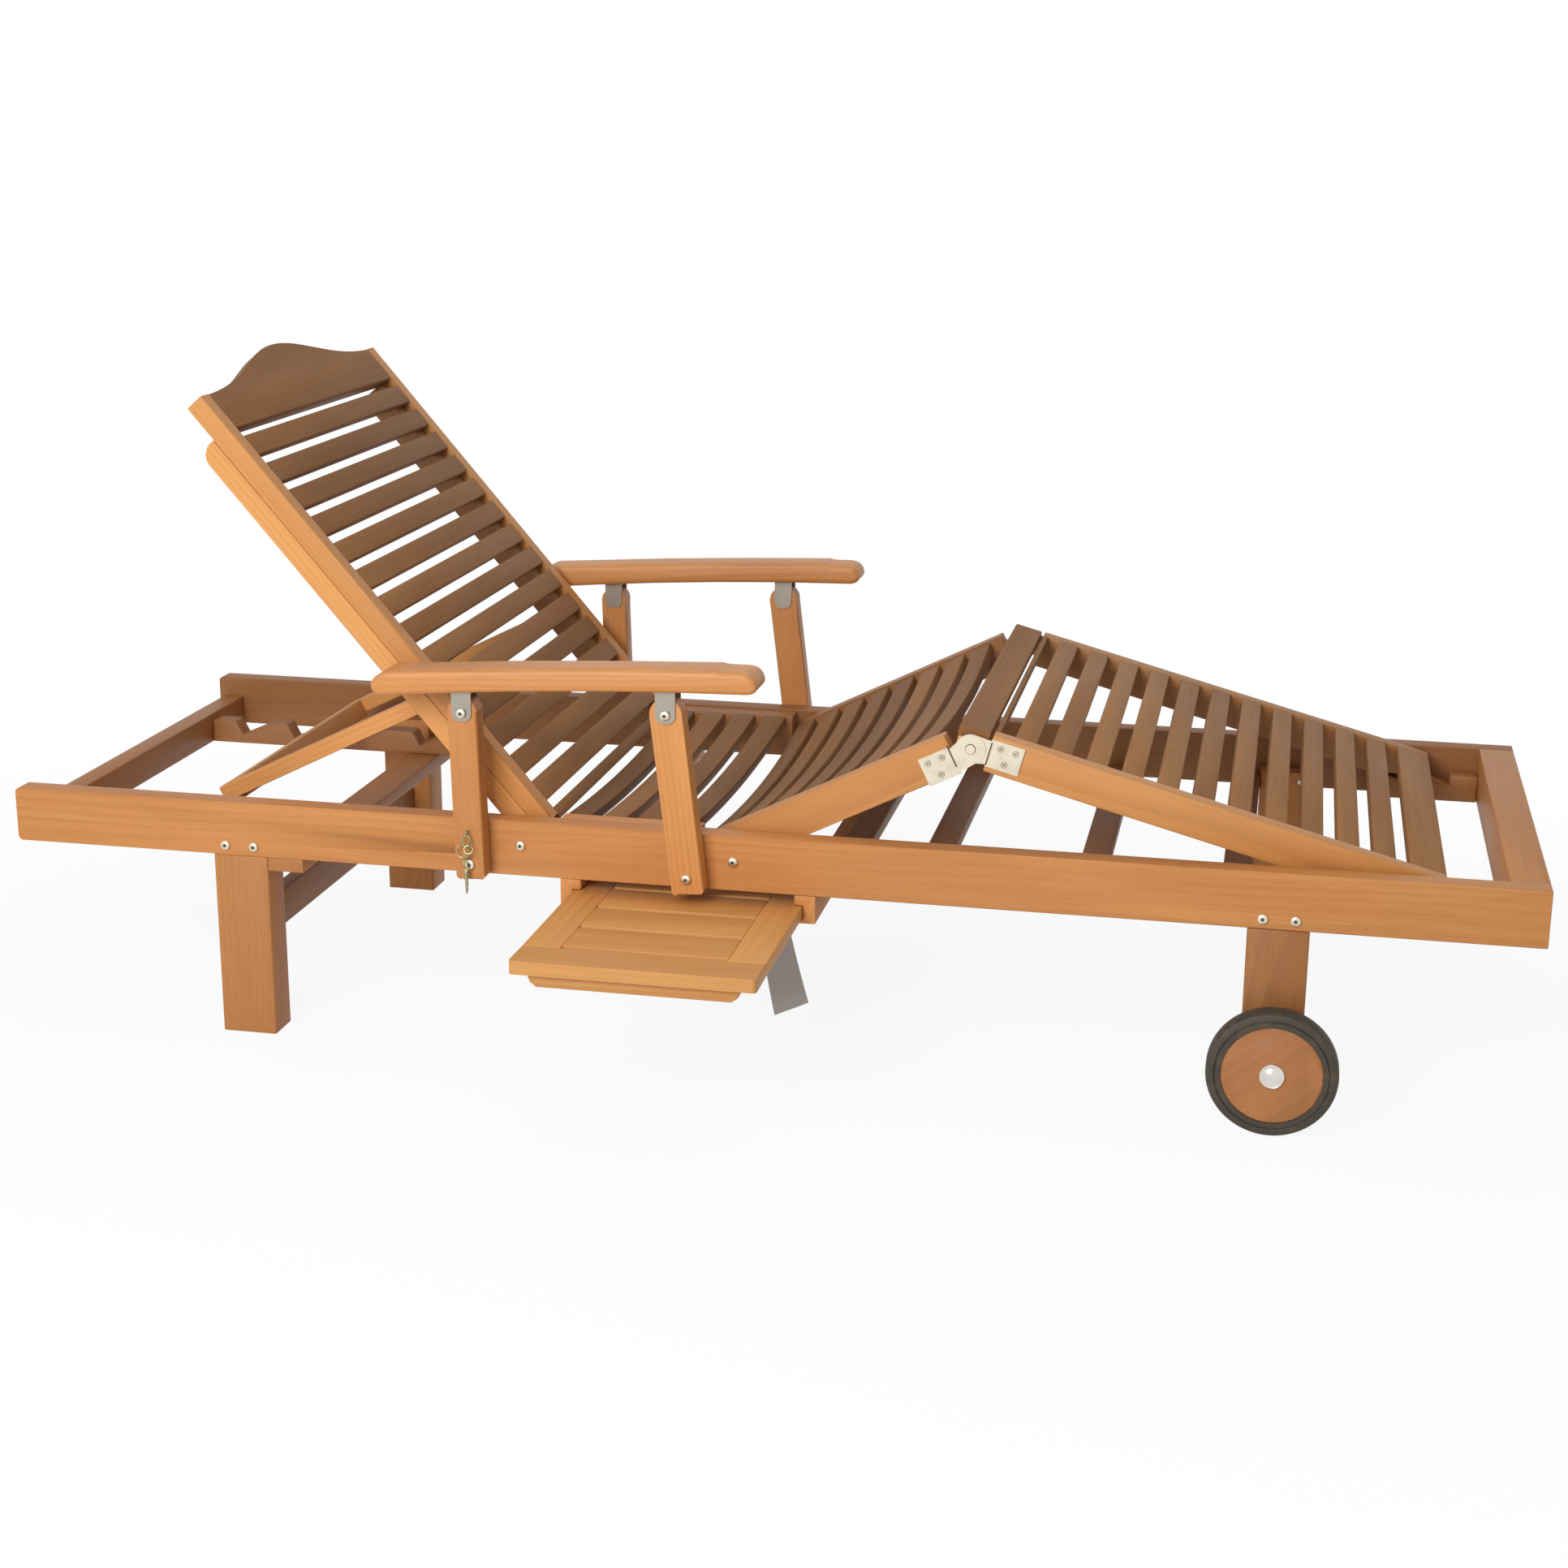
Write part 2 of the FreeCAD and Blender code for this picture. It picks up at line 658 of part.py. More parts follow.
def thigh_leaves():
    plate = leaf(-THIGH_LEAF_END, -KNEE_CLEAR, -THIGH_LEAF_LOW, THIGH_LEAF_HIGH, KNEE_LIFT)
    plate = plate.cut(cross_hole(0, 0, PIVOT_R, -RAIL_IN, -LANE_IN))
    return both(plate) + leaf_screws(-THIGH_LEAF_END, -1, -THIGH_LEAF_LOW, THIGH_LEAF_HIGH)


def calf_leaves():
    plate = leaf(CALF_LEAF_END, CALF_START, -CALF_LEAF_LOW, CALF_LEAF_HIGH, 0)
    plate = plate.cut(cross_hole(0, 0, PIVOT_R + RUN_FIT, -RAIL_IN, -LANE_IN))
    return both(plate) + leaf_screws(CALF_LEAF_END, 1, -CALF_LEAF_LOW, CALF_LEAF_HIGH)


def knee_rivet():
    outer = -LANE_OUT - KNEE_LIFT - LEAF
    shank = cross_hole(0, 0, PIVOT_R, outer, -LANE_OUT + LEAF)
    dome = cross_hole(0, 0, RIVET_R, outer - RIVET_HIGH, outer)
    return shank.fuse(dome).removeSplitter()


KNEE_POINT = turned_point(KNEE_REACH, KNEE_UP, THIGH_PIVOT, -THIGH_ANGLE)
CALF_FALL = KNEE_POINT.z - RAIL_TOP + CALF_TIP_DROP
CALF_SPAN = math.hypot(CALF_LONG, CALF_FACE)
CALF_ANGLE = math.degrees(math.atan2(CALF_FACE, CALF_LONG) + math.asin(CALF_FALL / CALF_SPAN))


def calf_stile():
    """Side of the calf rest; its foot end is cut away below to ride on the racks."""
    low = CALF_FACE - CALF_DEEP
    knee_z = KNEE_POINT.z
    slope = math.radians(CALF_ANGLE)
    clear = RAIL_TOP - LEG_RACK_DROP + CALF_RIDE
    tail_low = (clear - knee_z + CALF_LONG * math.sin(slope)) / math.cos(slope)
    heel = (knee_z + low * math.cos(slope) - clear) / math.sin(slope)
    outline = [(CALF_START, low), (CALF_START, CALF_FACE), (CALF_LONG, CALF_FACE)]
    outline += [(CALF_LONG, tail_low), (heel, low)]
    return prism(outline, -LANE_OUT, -LANE_IN)


def calf_slat_count():
    room = CALF_LONG - CALF_GAP_FIRST - CALF_GAP / 2 - CALF_END_LEAST
    return int(room / CALF_PITCH)


def calf_slats():
    low = CALF_FACE - SLAT_THICK
    slats = [box(CALF_START, CALF_GAP_FIRST - CALF_GAP / 2, -LANE_IN, LANE_IN, low, CALF_FACE)]
    for number in range(calf_slat_count()):
        x0 = CALF_GAP_FIRST + number * CALF_PITCH + CALF_GAP / 2
        x1 = x0 + CALF_PITCH - CALF_GAP
        slats.append(box(x0, x1, -LANE_IN, LANE_IN, low, CALF_FACE))
    return slats


def calf_end_slat():
    x0 = CALF_GAP_FIRST + calf_slat_count() * CALF_PITCH + CALF_GAP / 2
    return box(x0, CALF_LONG, -LANE_IN, LANE_IN, CALF_FACE - SLAT_THICK, CALF_FACE)


def knee_board():
    reach = LANE_OUT - KNEE_END_IN
    low = CALF_FACE - KNEE_BOARD_THICK
    bar = box(-KNEE_BOARD_BACK, KNEE_BOARD_FRONT, -reach, reach, low, CALF_FACE)
    upper = [edge for edge in along(bar, Y_AXIS) if edge.BoundBox.ZMin > CALF_FACE - 1]
    return bar.makeFillet(KNEE_EDGE, upper)


def knee_block():
    """End block under the knee board that joins it to the calf stile's end."""
    top = CALF_FACE - KNEE_BOARD_THICK
    back = -KNEE_BOARD_BACK + KNEE_BLOCK_IN
    return box(back, CALF_START, -LANE_OUT + KNEE_END_IN, -LANE_IN, -KNEE_BLOCK_BELOW, top)


def post(foot_x, head_x, rise, wide, play):
    """Arm post: straight sides, rounded top about its bolt, rounded lower corners."""
    foot = V(foot_x, 0, RAIL_TOP - POST_FOOT_DROP)
    head = V(head_x, 0, RAIL_TOP + rise)
    run = head - foot
    length = run.Length
    lean = math.degrees(math.atan2(run.x, run.z))
    half = wide / 2
    y0 = -POST_IN - POST_THICK
    body = box(-half, half, y0, -POST_IN, -POST_TAIL, length)
    corners = [edge for edge in along(body, Y_AXIS) if edge.BoundBox.ZMax < 0]
    body = body.makeFillet(POST_CORNER, corners)
    crown = Part.makeCylinder(half, POST_THICK, V(0, y0, length), Y_AXIS)
    body = body.fuse(crown).removeSplitter()
    body = bored(body, [cross_hole(0, 0, PIVOT_R + RUN_FIT, y0 - 1, -POST_IN + 1)])
    body = bored(body, [cross_hole(0, length, BOLT_R + play, y0 - 1, -POST_IN + 1)])
    return turned([body], foot, lean)[0]


ARM_REAR_X = REAR_POST_HEAD_X - ARM_REAR_OVER
ARM_FRONT_X = FRONT_POST_HEAD_X + ARM_FRONT_OVER


def arm_under(x):
    """Height of the arm's arched underside."""
    share = (x - ARM_REAR_X) / (ARM_FRONT_X - ARM_REAR_X)
    rise = (ARM_FRONT_UP - ARM_REAR_UP) * share
    return RAIL_TOP + ARM_REAR_UP + rise + 4 * ARM_UNDER_ARCH * share * (1 - share)


def arched(start, end, arch):
    """Shallow parabola between two points."""
    crown = (start + end) * 0.5 + V(0, 0, 2 * arch)
    curve = Part.BezierCurve()
    curve.setPoles([start, crown, end])
    return curve.toShape()


def flowing(points):
    curve = Part.BSplineCurve()
    curve.interpolate(points)
    return curve.toShape()


def arm_shape():
    """Arm rest: lightly arched board with a rounded front and a tapered rear tip."""
    y = -ARM_IN - ARM_WIDE
    rear = V(ARM_REAR_X, y, RAIL_TOP + ARM_REAR_UP)
    front = V(ARM_FRONT_X, y, RAIL_TOP + ARM_FRONT_UP)
    rear_top = rear + V(ARM_REAR_SLANT, 0, ARM_REAR_DEEP)
    front_top = front + V(-ARM_FRONT_SLANT, 0, ARM_FRONT_DEEP)
    nose = [front, front + V(ARM_NOSE, 0, ARM_FRONT_DEEP * 0.38)]
    nose.append(front + V(ARM_NOSE * 0.64, 0, ARM_FRONT_DEEP * 0.76))
    nose.append(front + V(-ARM_NOSE * 0.93, 0, ARM_FRONT_DEEP * 0.95))
    nose.append(front_top)
    tail = [rear_top, rear + V(-ARM_TAIL * 0.44, 0, ARM_REAR_DEEP * 0.79)]
    tail.append(rear + V(-ARM_TAIL, 0, ARM_REAR_DEEP * 0.39))
    tail.append(rear + V(-ARM_TAIL * 0.75, 0, ARM_REAR_DEEP * 0.12))
    tail.append(rear)
    under = arched(rear, front, ARM_UNDER_ARCH)
    over = arched(front_top, rear_top, ARM_OVER_ARCH)
    wire = Part.Wire([under, flowing(nose), over, flowing(tail)])
    return Part.Face(wire).extrude(V(0, ARM_WIDE, 0))


def strap(head_x, rise):
    """Steel strap bent to a U under the arm; its ears take the bolt through the post's head."""
    z_head = RAIL_TOP + rise
    x0 = head_x - STRAP_WIDE / 2
    x1 = head_x + STRAP_WIDE / 2
    top0 = arm_under(x0) - STRAP_SEAT
    top1 = arm_under(x1) - STRAP_SEAT
    inner = -POST_IN + STRAP_FIT
    outer = -POST_OUT - STRAP_FIT
    low = z_head - STRAP_DROP
    body = prism([(x0, low), (x0, top0), (x1, top1), (x1, low)], outer - STRAP, inner + STRAP)
    ends = [edge for edge in along(body, Y_AXIS) if edge.BoundBox.ZMax < low + 1]
    body = body.makeFillet(STRAP_DROP - 1.0, ends)
    body = body.cut(box(x0 - 1, x1 + 1, outer, inner, low - 1, top0 - STRAP))
    shank = cross_hole(head_x, z_head, BOLT_R, outer - STRAP, inner + STRAP)
    head = cross_hole(head_x, z_head, HEAD_R, outer - STRAP - HEAD_THICK, outer - STRAP)
    return [body.cut(shank), shank.fuse(head).removeSplitter()]


def tray_parts():
    """Side tray: two stiles, a front and a rear rail, slats with small gaps, and an apron below."""
    top = RAIL_TOP - TRAY_DROP
    low = top - TRAY_THICK
    front = -TRAY_FRONT
    rear = front + TRAY_LONG
    inner0 = TRAY_X0 + TRAY_STILE
    inner1 = TRAY_X1 - TRAY_STILE
    front_rail = box(TRAY_X0, TRAY_X1, front, front + TRAY_FRONT_RAIL, low, top)
    corners = [edge for edge in along(front_rail, V(0, 0, 1)) if edge.BoundBox.YMax < front + 1]
    front_rail = front_rail.makeFillet(TRAY_CORNER, corners)
    rear_rail = box(TRAY_X0, TRAY_X1, rear - TRAY_REAR_RAIL, rear, low, top)
    span0 = front + TRAY_FRONT_RAIL
    span1 = rear - TRAY_REAR_RAIL
    stiles = [box(TRAY_X0, inner0, span0, span1, low, top)]
    stiles.append(box(inner1, TRAY_X1, span0, span1, low, top))
    pitch = (span1 - span0) / TRAY_SLATS
    slats = []
    for number in range(TRAY_SLATS):
        y0 = span0 + number * pitch + TRAY_GAP
        slats.append(box(inner0, inner1, y0, y0 + pitch - TRAY_GAP, low + TRAY_SLAT_SUNK, top))
    x0 = TRAY_X0 + APRON_INSET
    x1 = TRAY_X1 - APRON_INSET
    bottom = low - APRON_HIGH
    third = APRON_BEVEL / 3
    outline = [(x0, low), (x1, low), (x1 - third, bottom + APRON_BEVEL / 2), (x1 - APRON_BEVEL, bottom)]
    outline += [(x0 + APRON_BEVEL, bottom), (x0 + third, bottom + APRON_BEVEL / 2)]
    apron = prism(outline, front + APRON_BACK, front + APRON_BACK + APRON_THICK)
    return [front_rail, rear_rail], stiles, slats, apron


def runner(face_x, toward):
    """Grooved bar below the rails that carries one side of the tray."""
    back_x = face_x - toward * RUNNER_WIDE
    low = RAIL_BOTTOM - RUNNER_DEEP
    bar = box(min(face_x, back_x), max(face_x, back_x), -HALF, HALF, low, RAIL_BOTTOM)
    groove_low = RAIL_TOP - TRAY_DROP - TRAY_THICK - GROOVE_UNDER
    groove_top = RAIL_TOP - TRAY_DROP + GROOVE_CLEAR
    deep_x = face_x - toward * (GROOVE_DEEP + GROOVE_CLEAR)
    groove = box(min(face_x, deep_x), max(face_x, deep_x), -HALF - 1, HALF + 1, groove_low, groove_top)
    return bar.cut(groove)


def wheel_disc():
    bore = AXLE_R + RUN_FIT
    rim = DISC_R - DISC_EDGE
    outline = [(bore, -WHEEL_OUT), (rim, -WHEEL_OUT), (DISC_R, -WHEEL_OUT + DISC_EDGE)]
    outline += [(DISC_R, -WHEEL_IN - DISC_EDGE), (rim, -WHEEL_IN), (bore, -WHEEL_IN)]
    return spun(outline, WHEEL_X, WHEEL_R)


def tyre():
    """Solid tyre with shoulders that fall off in two steps."""
    half = WHEEL_THICK / 2
    side = [(WHEEL_R, half - TYRE_SHOULDER), (WHEEL_R - TYRE_SHOULDER * 0.3, half - TYRE_SHOULDER * 0.3)]
    side += [(WHEEL_R - TYRE_SHOULDER, half), (DISC_R, half)]
    middle = -WHEEL_IN - half
    outline = [(radius, middle + y) for radius, y in side]
    outline += [(radius, middle - y) for radius, y in reversed(side)]
    return spun(outline, WHEEL_X, WHEEL_R)


def hub_cap():
    """Pressed cap with a bevelled crown."""
    outline = [(0, -WHEEL_OUT), (CAP_R, -WHEEL_OUT), (CAP_R * 0.85, -WHEEL_OUT - CAP_HIGH * 0.6)]
    outline += [(CAP_R * 0.45, -WHEEL_OUT - CAP_HIGH), (0, -WHEEL_OUT - CAP_HIGH)]
    return spun(outline, WHEEL_X, WHEEL_R)


def axle():
    bar = cross_hole(WHEEL_X, WHEEL_R, AXLE_R, -WHEEL_OUT + 1, WHEEL_OUT - 1)
    spacer = cross_hole(WHEEL_X, WHEEL_R, AXLE_R * 2, -WHEEL_IN + WASHER_FIT, -HALF)
    return bar.fuse(both(spacer)).removeSplitter()


def lock_pin():
    """Screw eye on the rear post, its ring and the slim locking pin that hangs from it."""
    x = REAR_POST_FOOT_X - WIRE_R
    y = -POST_OUT - EYE_OUT
    z = RAIL_TOP - PIN_DROP
    stem = rod(WIRE_R, V(x, -POST_OUT, z), V(x, y + EYE_R - WIRE_R, z))
    eye = rod(EYE_R, V(x - WIRE_R, y, z), V(x + WIRE_R, y, z))
    eye = eye.cut(rod(EYE_R - 2 * WIRE_R, V(x - EYE_R, y, z), V(x + EYE_R, y, z)))
    centre = z - EYE_R + WIRE_R - RING_R + 2 * WIRE_R
    ring = cross_hole(x, centre, RING_R, y - WIRE_R, y + WIRE_R)
    ring = ring.cut(cross_hole(x, centre, RING_R - 2 * WIRE_R, y - EYE_R, y + EYE_R))
    top = centre - RING_R + WIRE_R
    pin = Part.makeCone(PIN_R, PIN_R / 2, PIN_LONG, V(x, y, top), V(0, 0, -1))
    return stem.fuse([eye, ring, pin]).removeSplitter()


def build():
    os.makedirs("parts", exist_ok=True)
    write_pair("rail", [rail()])
    head_top = RAIL_TOP - HEAD_RAIL_DROP
    head_x = HEAD_RAIL_X + HEAD_RAIL_WIDE
    write("head_rail", [box(HEAD_RAIL_X, head_x, -RAIL_IN, RAIL_IN, RAIL_BOTTOM, head_top)])
    write("foot_rail", [box(LENGTH - FOOT_RAIL_WIDE, LENGTH, -RAIL_IN, RAIL_IN, RAIL_BOTTOM, RAIL_TOP)])
    write_pair("head_leg", [leg(HEAD_LEG_X, 0)])
    foot_leg = bored(leg(FOOT_LEG_X, FOOT_LEG_LIFT), [axle_hole()])
    write_pair("foot_leg", [foot_leg])
    bar_x = HEAD_LEG_X + LEG_WIDE
    bar_top = RAIL_BOTTOM
    flat_bar = box(bar_x, bar_x + FLAT_BAR_WIDE, -HALF, HALF, bar_top - FLAT_BAR_THICK, bar_top)
    write("head_flat_bar", [flat_bar])
    reach = HALF - LEG_THICK
    x0 = HEAD_LEG_X + LEG_WIDE / 2 - STRETCHER_THICK / 2
    stretcher_top = STRETCHER_LIFT + STRETCHER_HIGH
    stretcher = box(x0, x0 + STRETCHER_THICK, -reach, reach, STRETCHER_LIFT, stretcher_top)
    write("head_stretcher", [stretcher])
    write("under_bars", under_bars())
    write_pair("prop_rack", [prop_rack()])
    write("leg_racks", both(leg_rack()))
    write("seat_sides", both(seat_side()))
    write("seat_slats", seat_slats())
    write("frame_bolts", frame_bolts())
    write("pivot_pins", pivot_pins())
    write("axle", [axle()])

    def back(shapes):
        return turned(shapes, BACK_PIVOT, BACK_ANGLE)

    write_pair("back_stile", back([back_stile()]))
    write("back_rear_bars", back(both(rear_bar())))
    write("back_battens", back(both(batten())))
    write("crest_rail", back([crest()]))
    write("back_slats", back(back_slats()))
    write("back_bolts", back(prop_pins()))
    write("prop_struts", turned(both(prop_strut()), PROP_PIVOT, -PROP_ANGLE))
    write("prop_bar", turned([prop_bar()], PROP_PIVOT, -PROP_ANGLE))

    def thigh(shapes):
        return turned(shapes, THIGH_PIVOT, -THIGH_ANGLE)

    def thigh_knee(shapes):
        return turned(shapes, KNEE_POINT, -THIGH_ANGLE)

    def calf(shapes):
        return turned(shapes, KNEE_POINT, CALF_ANGLE)

    write("thigh_stiles", thigh(both(thigh_stile())))
    write("thigh_slats", thigh(thigh_slats()))
    write("thigh_leaves", thigh_knee(thigh_leaves()))
    write("knee_rivets", thigh_knee(both(knee_rivet())))
    write("calf_stiles", calf(both(calf_stile())))
    write("calf_slats", calf(calf_slats()))
    write("calf_end_slat", calf([calf_end_slat()]))
    write("knee_board", calf([knee_board()]))
    write("knee_blocks", calf(both(knee_block())))
    write("calf_leaves", calf(calf_leaves()))

    rear = post(REAR_POST_FOOT_X, REAR_POST_HEAD_X, REAR_POST_RISE, REAR_POST_WIDE, RUN_FIT)
    front = post(FRONT_POST_FOOT_X, FRONT_POST_HEAD_X, FRONT_POST_RISE, FRONT_POST_WIDE, LINK_PLAY)
    write_pair("rear_post", [rear])
    write_pair("front_post", [front])
    write_pair("arm", [arm_shape()])
    straps = strap(REAR_POST_HEAD_X, REAR_POST_RISE) + strap(FRONT_POST_HEAD_X, FRONT_POST_RISE)
    write_pair("arm_brackets", straps)
    write_pair("lock_pin", [lock_pin()])

    rails, stiles, slats, apron = tray_parts()
    write("tray_rails", rails)
    write("tray_stiles", stiles)
    write("tray_slats", slats)
    write("tray_apron", [apron])
    write("tray_runner_head", [runner(TRAY_X0 + GROOVE_DEEP, 1)])
    write("tray_runner_foot", [runner(TRAY_X1 - GROOVE_DEEP, -1)])

    write_pair("wheel_disc", [wheel_disc()])
    write_pair("tyre", [tyre()])
    write_pair("hub_cap", [hub_cap()])


build()
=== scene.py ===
import json
import math
import random

import bpy
import numpy as np
from mathutils import Matrix, Vector


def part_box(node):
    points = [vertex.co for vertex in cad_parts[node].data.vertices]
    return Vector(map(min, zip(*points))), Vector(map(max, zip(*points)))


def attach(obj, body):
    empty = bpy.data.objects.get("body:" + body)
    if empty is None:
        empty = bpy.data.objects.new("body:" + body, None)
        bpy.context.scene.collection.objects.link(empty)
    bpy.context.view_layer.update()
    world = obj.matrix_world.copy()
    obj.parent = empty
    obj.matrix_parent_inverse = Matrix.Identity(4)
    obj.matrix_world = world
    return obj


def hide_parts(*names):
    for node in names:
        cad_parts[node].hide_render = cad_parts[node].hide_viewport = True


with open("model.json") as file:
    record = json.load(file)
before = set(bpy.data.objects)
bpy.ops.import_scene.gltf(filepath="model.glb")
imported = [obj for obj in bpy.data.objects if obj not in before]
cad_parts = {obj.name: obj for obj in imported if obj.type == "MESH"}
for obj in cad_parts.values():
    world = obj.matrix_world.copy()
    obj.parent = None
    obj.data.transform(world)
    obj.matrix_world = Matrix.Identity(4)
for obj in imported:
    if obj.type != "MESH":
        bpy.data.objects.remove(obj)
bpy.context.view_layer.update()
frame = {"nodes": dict(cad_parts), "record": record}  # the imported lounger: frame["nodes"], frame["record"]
MIDDLE_Y = sum(c.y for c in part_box("seat_slats")) / 2
NODE_BODY = {n: b for b, ns in frame["record"]["behaviour"]["bodies"].items() for n in ns}
NODE_SLOT = {s["node"]: s["material_slot"] for s in frame["record"]["subparts"]}

# Camera of the photograph, in the lounger's frame
CAMERA_PLACE = Vector((0.66723, -3.19505, 1.25757))
CAMERA_YAW = math.radians(11.6001)
CAMERA_PITCH = math.radians(15.8691)
CAMERA_ROLL = math.radians(0.4118)
CAMERA_LENS = 57.217
CAMERA_SENSOR = 36.0
CAMERA_REACH = 60.0

# Lighting and ground
KEY_PLACE = (-0.8, -3.3, 2.0)
KEY_POWER = 104.0
KEY_SIZE = 1.8
KEY_TARGET = (0, 0, 0.35)
TOP_PLACE = (0.4, 0.6, 3.6)
TOP_POWER = 26.0
TOP_SIZE = 3.0
TOP_TARGET = (0, 0.1, 0.2)
SKY_LEVEL = 0.30
GROUND_COLOUR = (0.93, 0.93, 0.93, 1)
GROUND_REACH = 14.0

# Rounding of the boards' edges, in metres, and the shortest edge that is rounded
BOARD_ROUND = 0.0016
ARM_ROUND = 0.0065
LEG_ROUND = BOARD_ROUND * 1.6
EASED_FROM = 0.009

# Points closer than this are one point, and faces that turn less than this are one face
MERGE_NEAR = 0.00002
FLAT_TURN = math.radians(0.6)

# Turns a ring or a round bar so that its axis runs across the lounger
ACROSS = (math.radians(90), 0, 0)

# Bolt heads: flattened buttons with a dark hexagon disc as painted shade of the socket
HEAD_RADIUS = 0.0063
HEAD_FLATNESS = 0.30
SOCKET_RADIUS = HEAD_RADIUS * 0.40
SOCKET_DEPTH = 0.0008
SOCKET_FRONT = HEAD_RADIUS * 0.27
BOLT_SPACING = 0.012

# Wheels: how far the disc's grain is turned, and where its pith would lie
DISC_TURN = {"near": 38, "far": 12}
DISC_PITH = Vector((3.0, 0.02, 0.09))
DISC_TONE = 0.55
TYRE_DEPTH = 0.0185
TYRE_SHOULDER = 0.0062
TYRE_GROOVE = 0.0016

# Locking pin set, from the screw eye on the post down to the pin's point
EYE_RISE = 0.006
EYE_REACH = 0.0066
PIN_REACH = 0.0088
CHAIN_LINKS = 8
CHAIN_STEP = 0.0042
CHAIN_DROP = 0.0300
PIN_LENGTH = 0.0290
PIN_DROP = 0.0100

# Tag: where it hangs from the runner's corner, its corners from the upper left one, and its sag
TAG_HANG = Vector((-0.047, 0.001, 0.003))
TAG_CORNERS = ((0, 0, 0), (0.0388, 0, 0), (0.0682, 0, -0.108), (0.0233, 0, -0.1297))
TAG_LONG = 0.130
TAG_SAG = 0.006
TAG_THICK = 0.0006
TAG_LOOP = Vector((-0.006, 0.001, -0.0012))

# Knee hinge: painted shadow line where a leaf steps over to its knuckle, and the painted shade of the cross
# in a screw head
STEP_SHADOW_SIZE = (0.0016, 0.0012, 0.0300)
STEP_SHADOW_PROUD = 0.0002
CROSS_BAR = (0.0042, 0.00012, 0.0009)
CROSS_TURN = 0.5
SCREW_DEEPEST = 0.0012

# Tilt of the two parts of the leg rest in the photograph, in degrees
THIGH_TILT = 26.5
CALF_TILT = 14.9

# Board tones from 0, dark, to 1, pale; the far side's inner boards get lower tones as painted shade, standing
# in for the shade they lie in
TONES = (0.35, 0.75)
SHADED = (0.02, 0.12)
SHADED_PAIRS = ("back_battens", "back_rear_bars", "calf_stiles", "thigh_stiles", "leg_racks", "seat_sides")
# Tones of single nodes, partly board colour and partly painted shade: the far rail and the under bars are
# darkened for the shade they lie in
NODE_TONES_AND_SHADE = {"rail_far": (0.04, 0.06), "under_bars": (0.0, 0.04), "head_leg_near": (0.20, 0.22),
              "foot_leg_near": (0.10, 0.12), "rail_near": (0.50, 0.52), "head_rail": (0.12, 0.16),
              "thigh_slats": (0.05, 0.30), "seat_slats": (0.05, 0.30), "crest_rail": (0.22, 0.25),
              "knee_board": (0.20, 0.25), "back_slats": (0.10, 0.40), "calf_slats": (0.15, 0.60),
              "prop_rack_near": (0.05, 0.10), "prop_rack_far": (0.05, 0.10), "head_stretcher": (0.02, 0.05),
              "head_flat_bar": (0.10, 0.20), "foot_rail": (0.25, 0.30)}

# Timber colours as pale, middle and dark streaks
OILED = ((0.63, 0.270, 0.072, 1), (0.55, 0.217, 0.053, 1), (0.36, 0.120, 0.026, 1))
STILE = ((0.70, 0.320, 0.088, 1), (0.61, 0.260, 0.068, 1), (0.42, 0.155, 0.034, 1))
DRY = ((0.40, 0.190, 0.066, 1), (0.315, 0.138, 0.044, 1), (0.20, 0.078, 0.022, 1))
TRAY = ((0.66, 0.320, 0.090, 1), (0.57, 0.255, 0.066, 1), (0.42, 0.165, 0.038, 1))
DARK = ((0.44, 0.180, 0.052, 1), (0.37, 0.140, 0.038, 1), (0.26, 0.088, 0.022, 1))


class Socket:
    """A shader socket whose Python operators add Math nodes."""

    def __init__(self, nodes, socket):
        self.nodes = nodes
        self.socket = socket

    def _math(self, operation, other, flip=False):
        pair = (other, self) if flip else (self, other)
        return self.nodes.node("ShaderNodeMath", {"operation": operation}, {0: pair[0], 1: pair[1]})

    def __add__(self, other):
        return self._math("ADD", other)

    __radd__ = __add__

    def __mul__(self, other):
        return self._math("MULTIPLY", other)

    __rmul__ = __mul__

    def __sub__(self, other):
        return self._math("SUBTRACT", other)

    def __rsub__(self, other):
        return self._math("SUBTRACT", other, flip=True)

    def __pow__(self, other):
        return self._math("POWER", other)


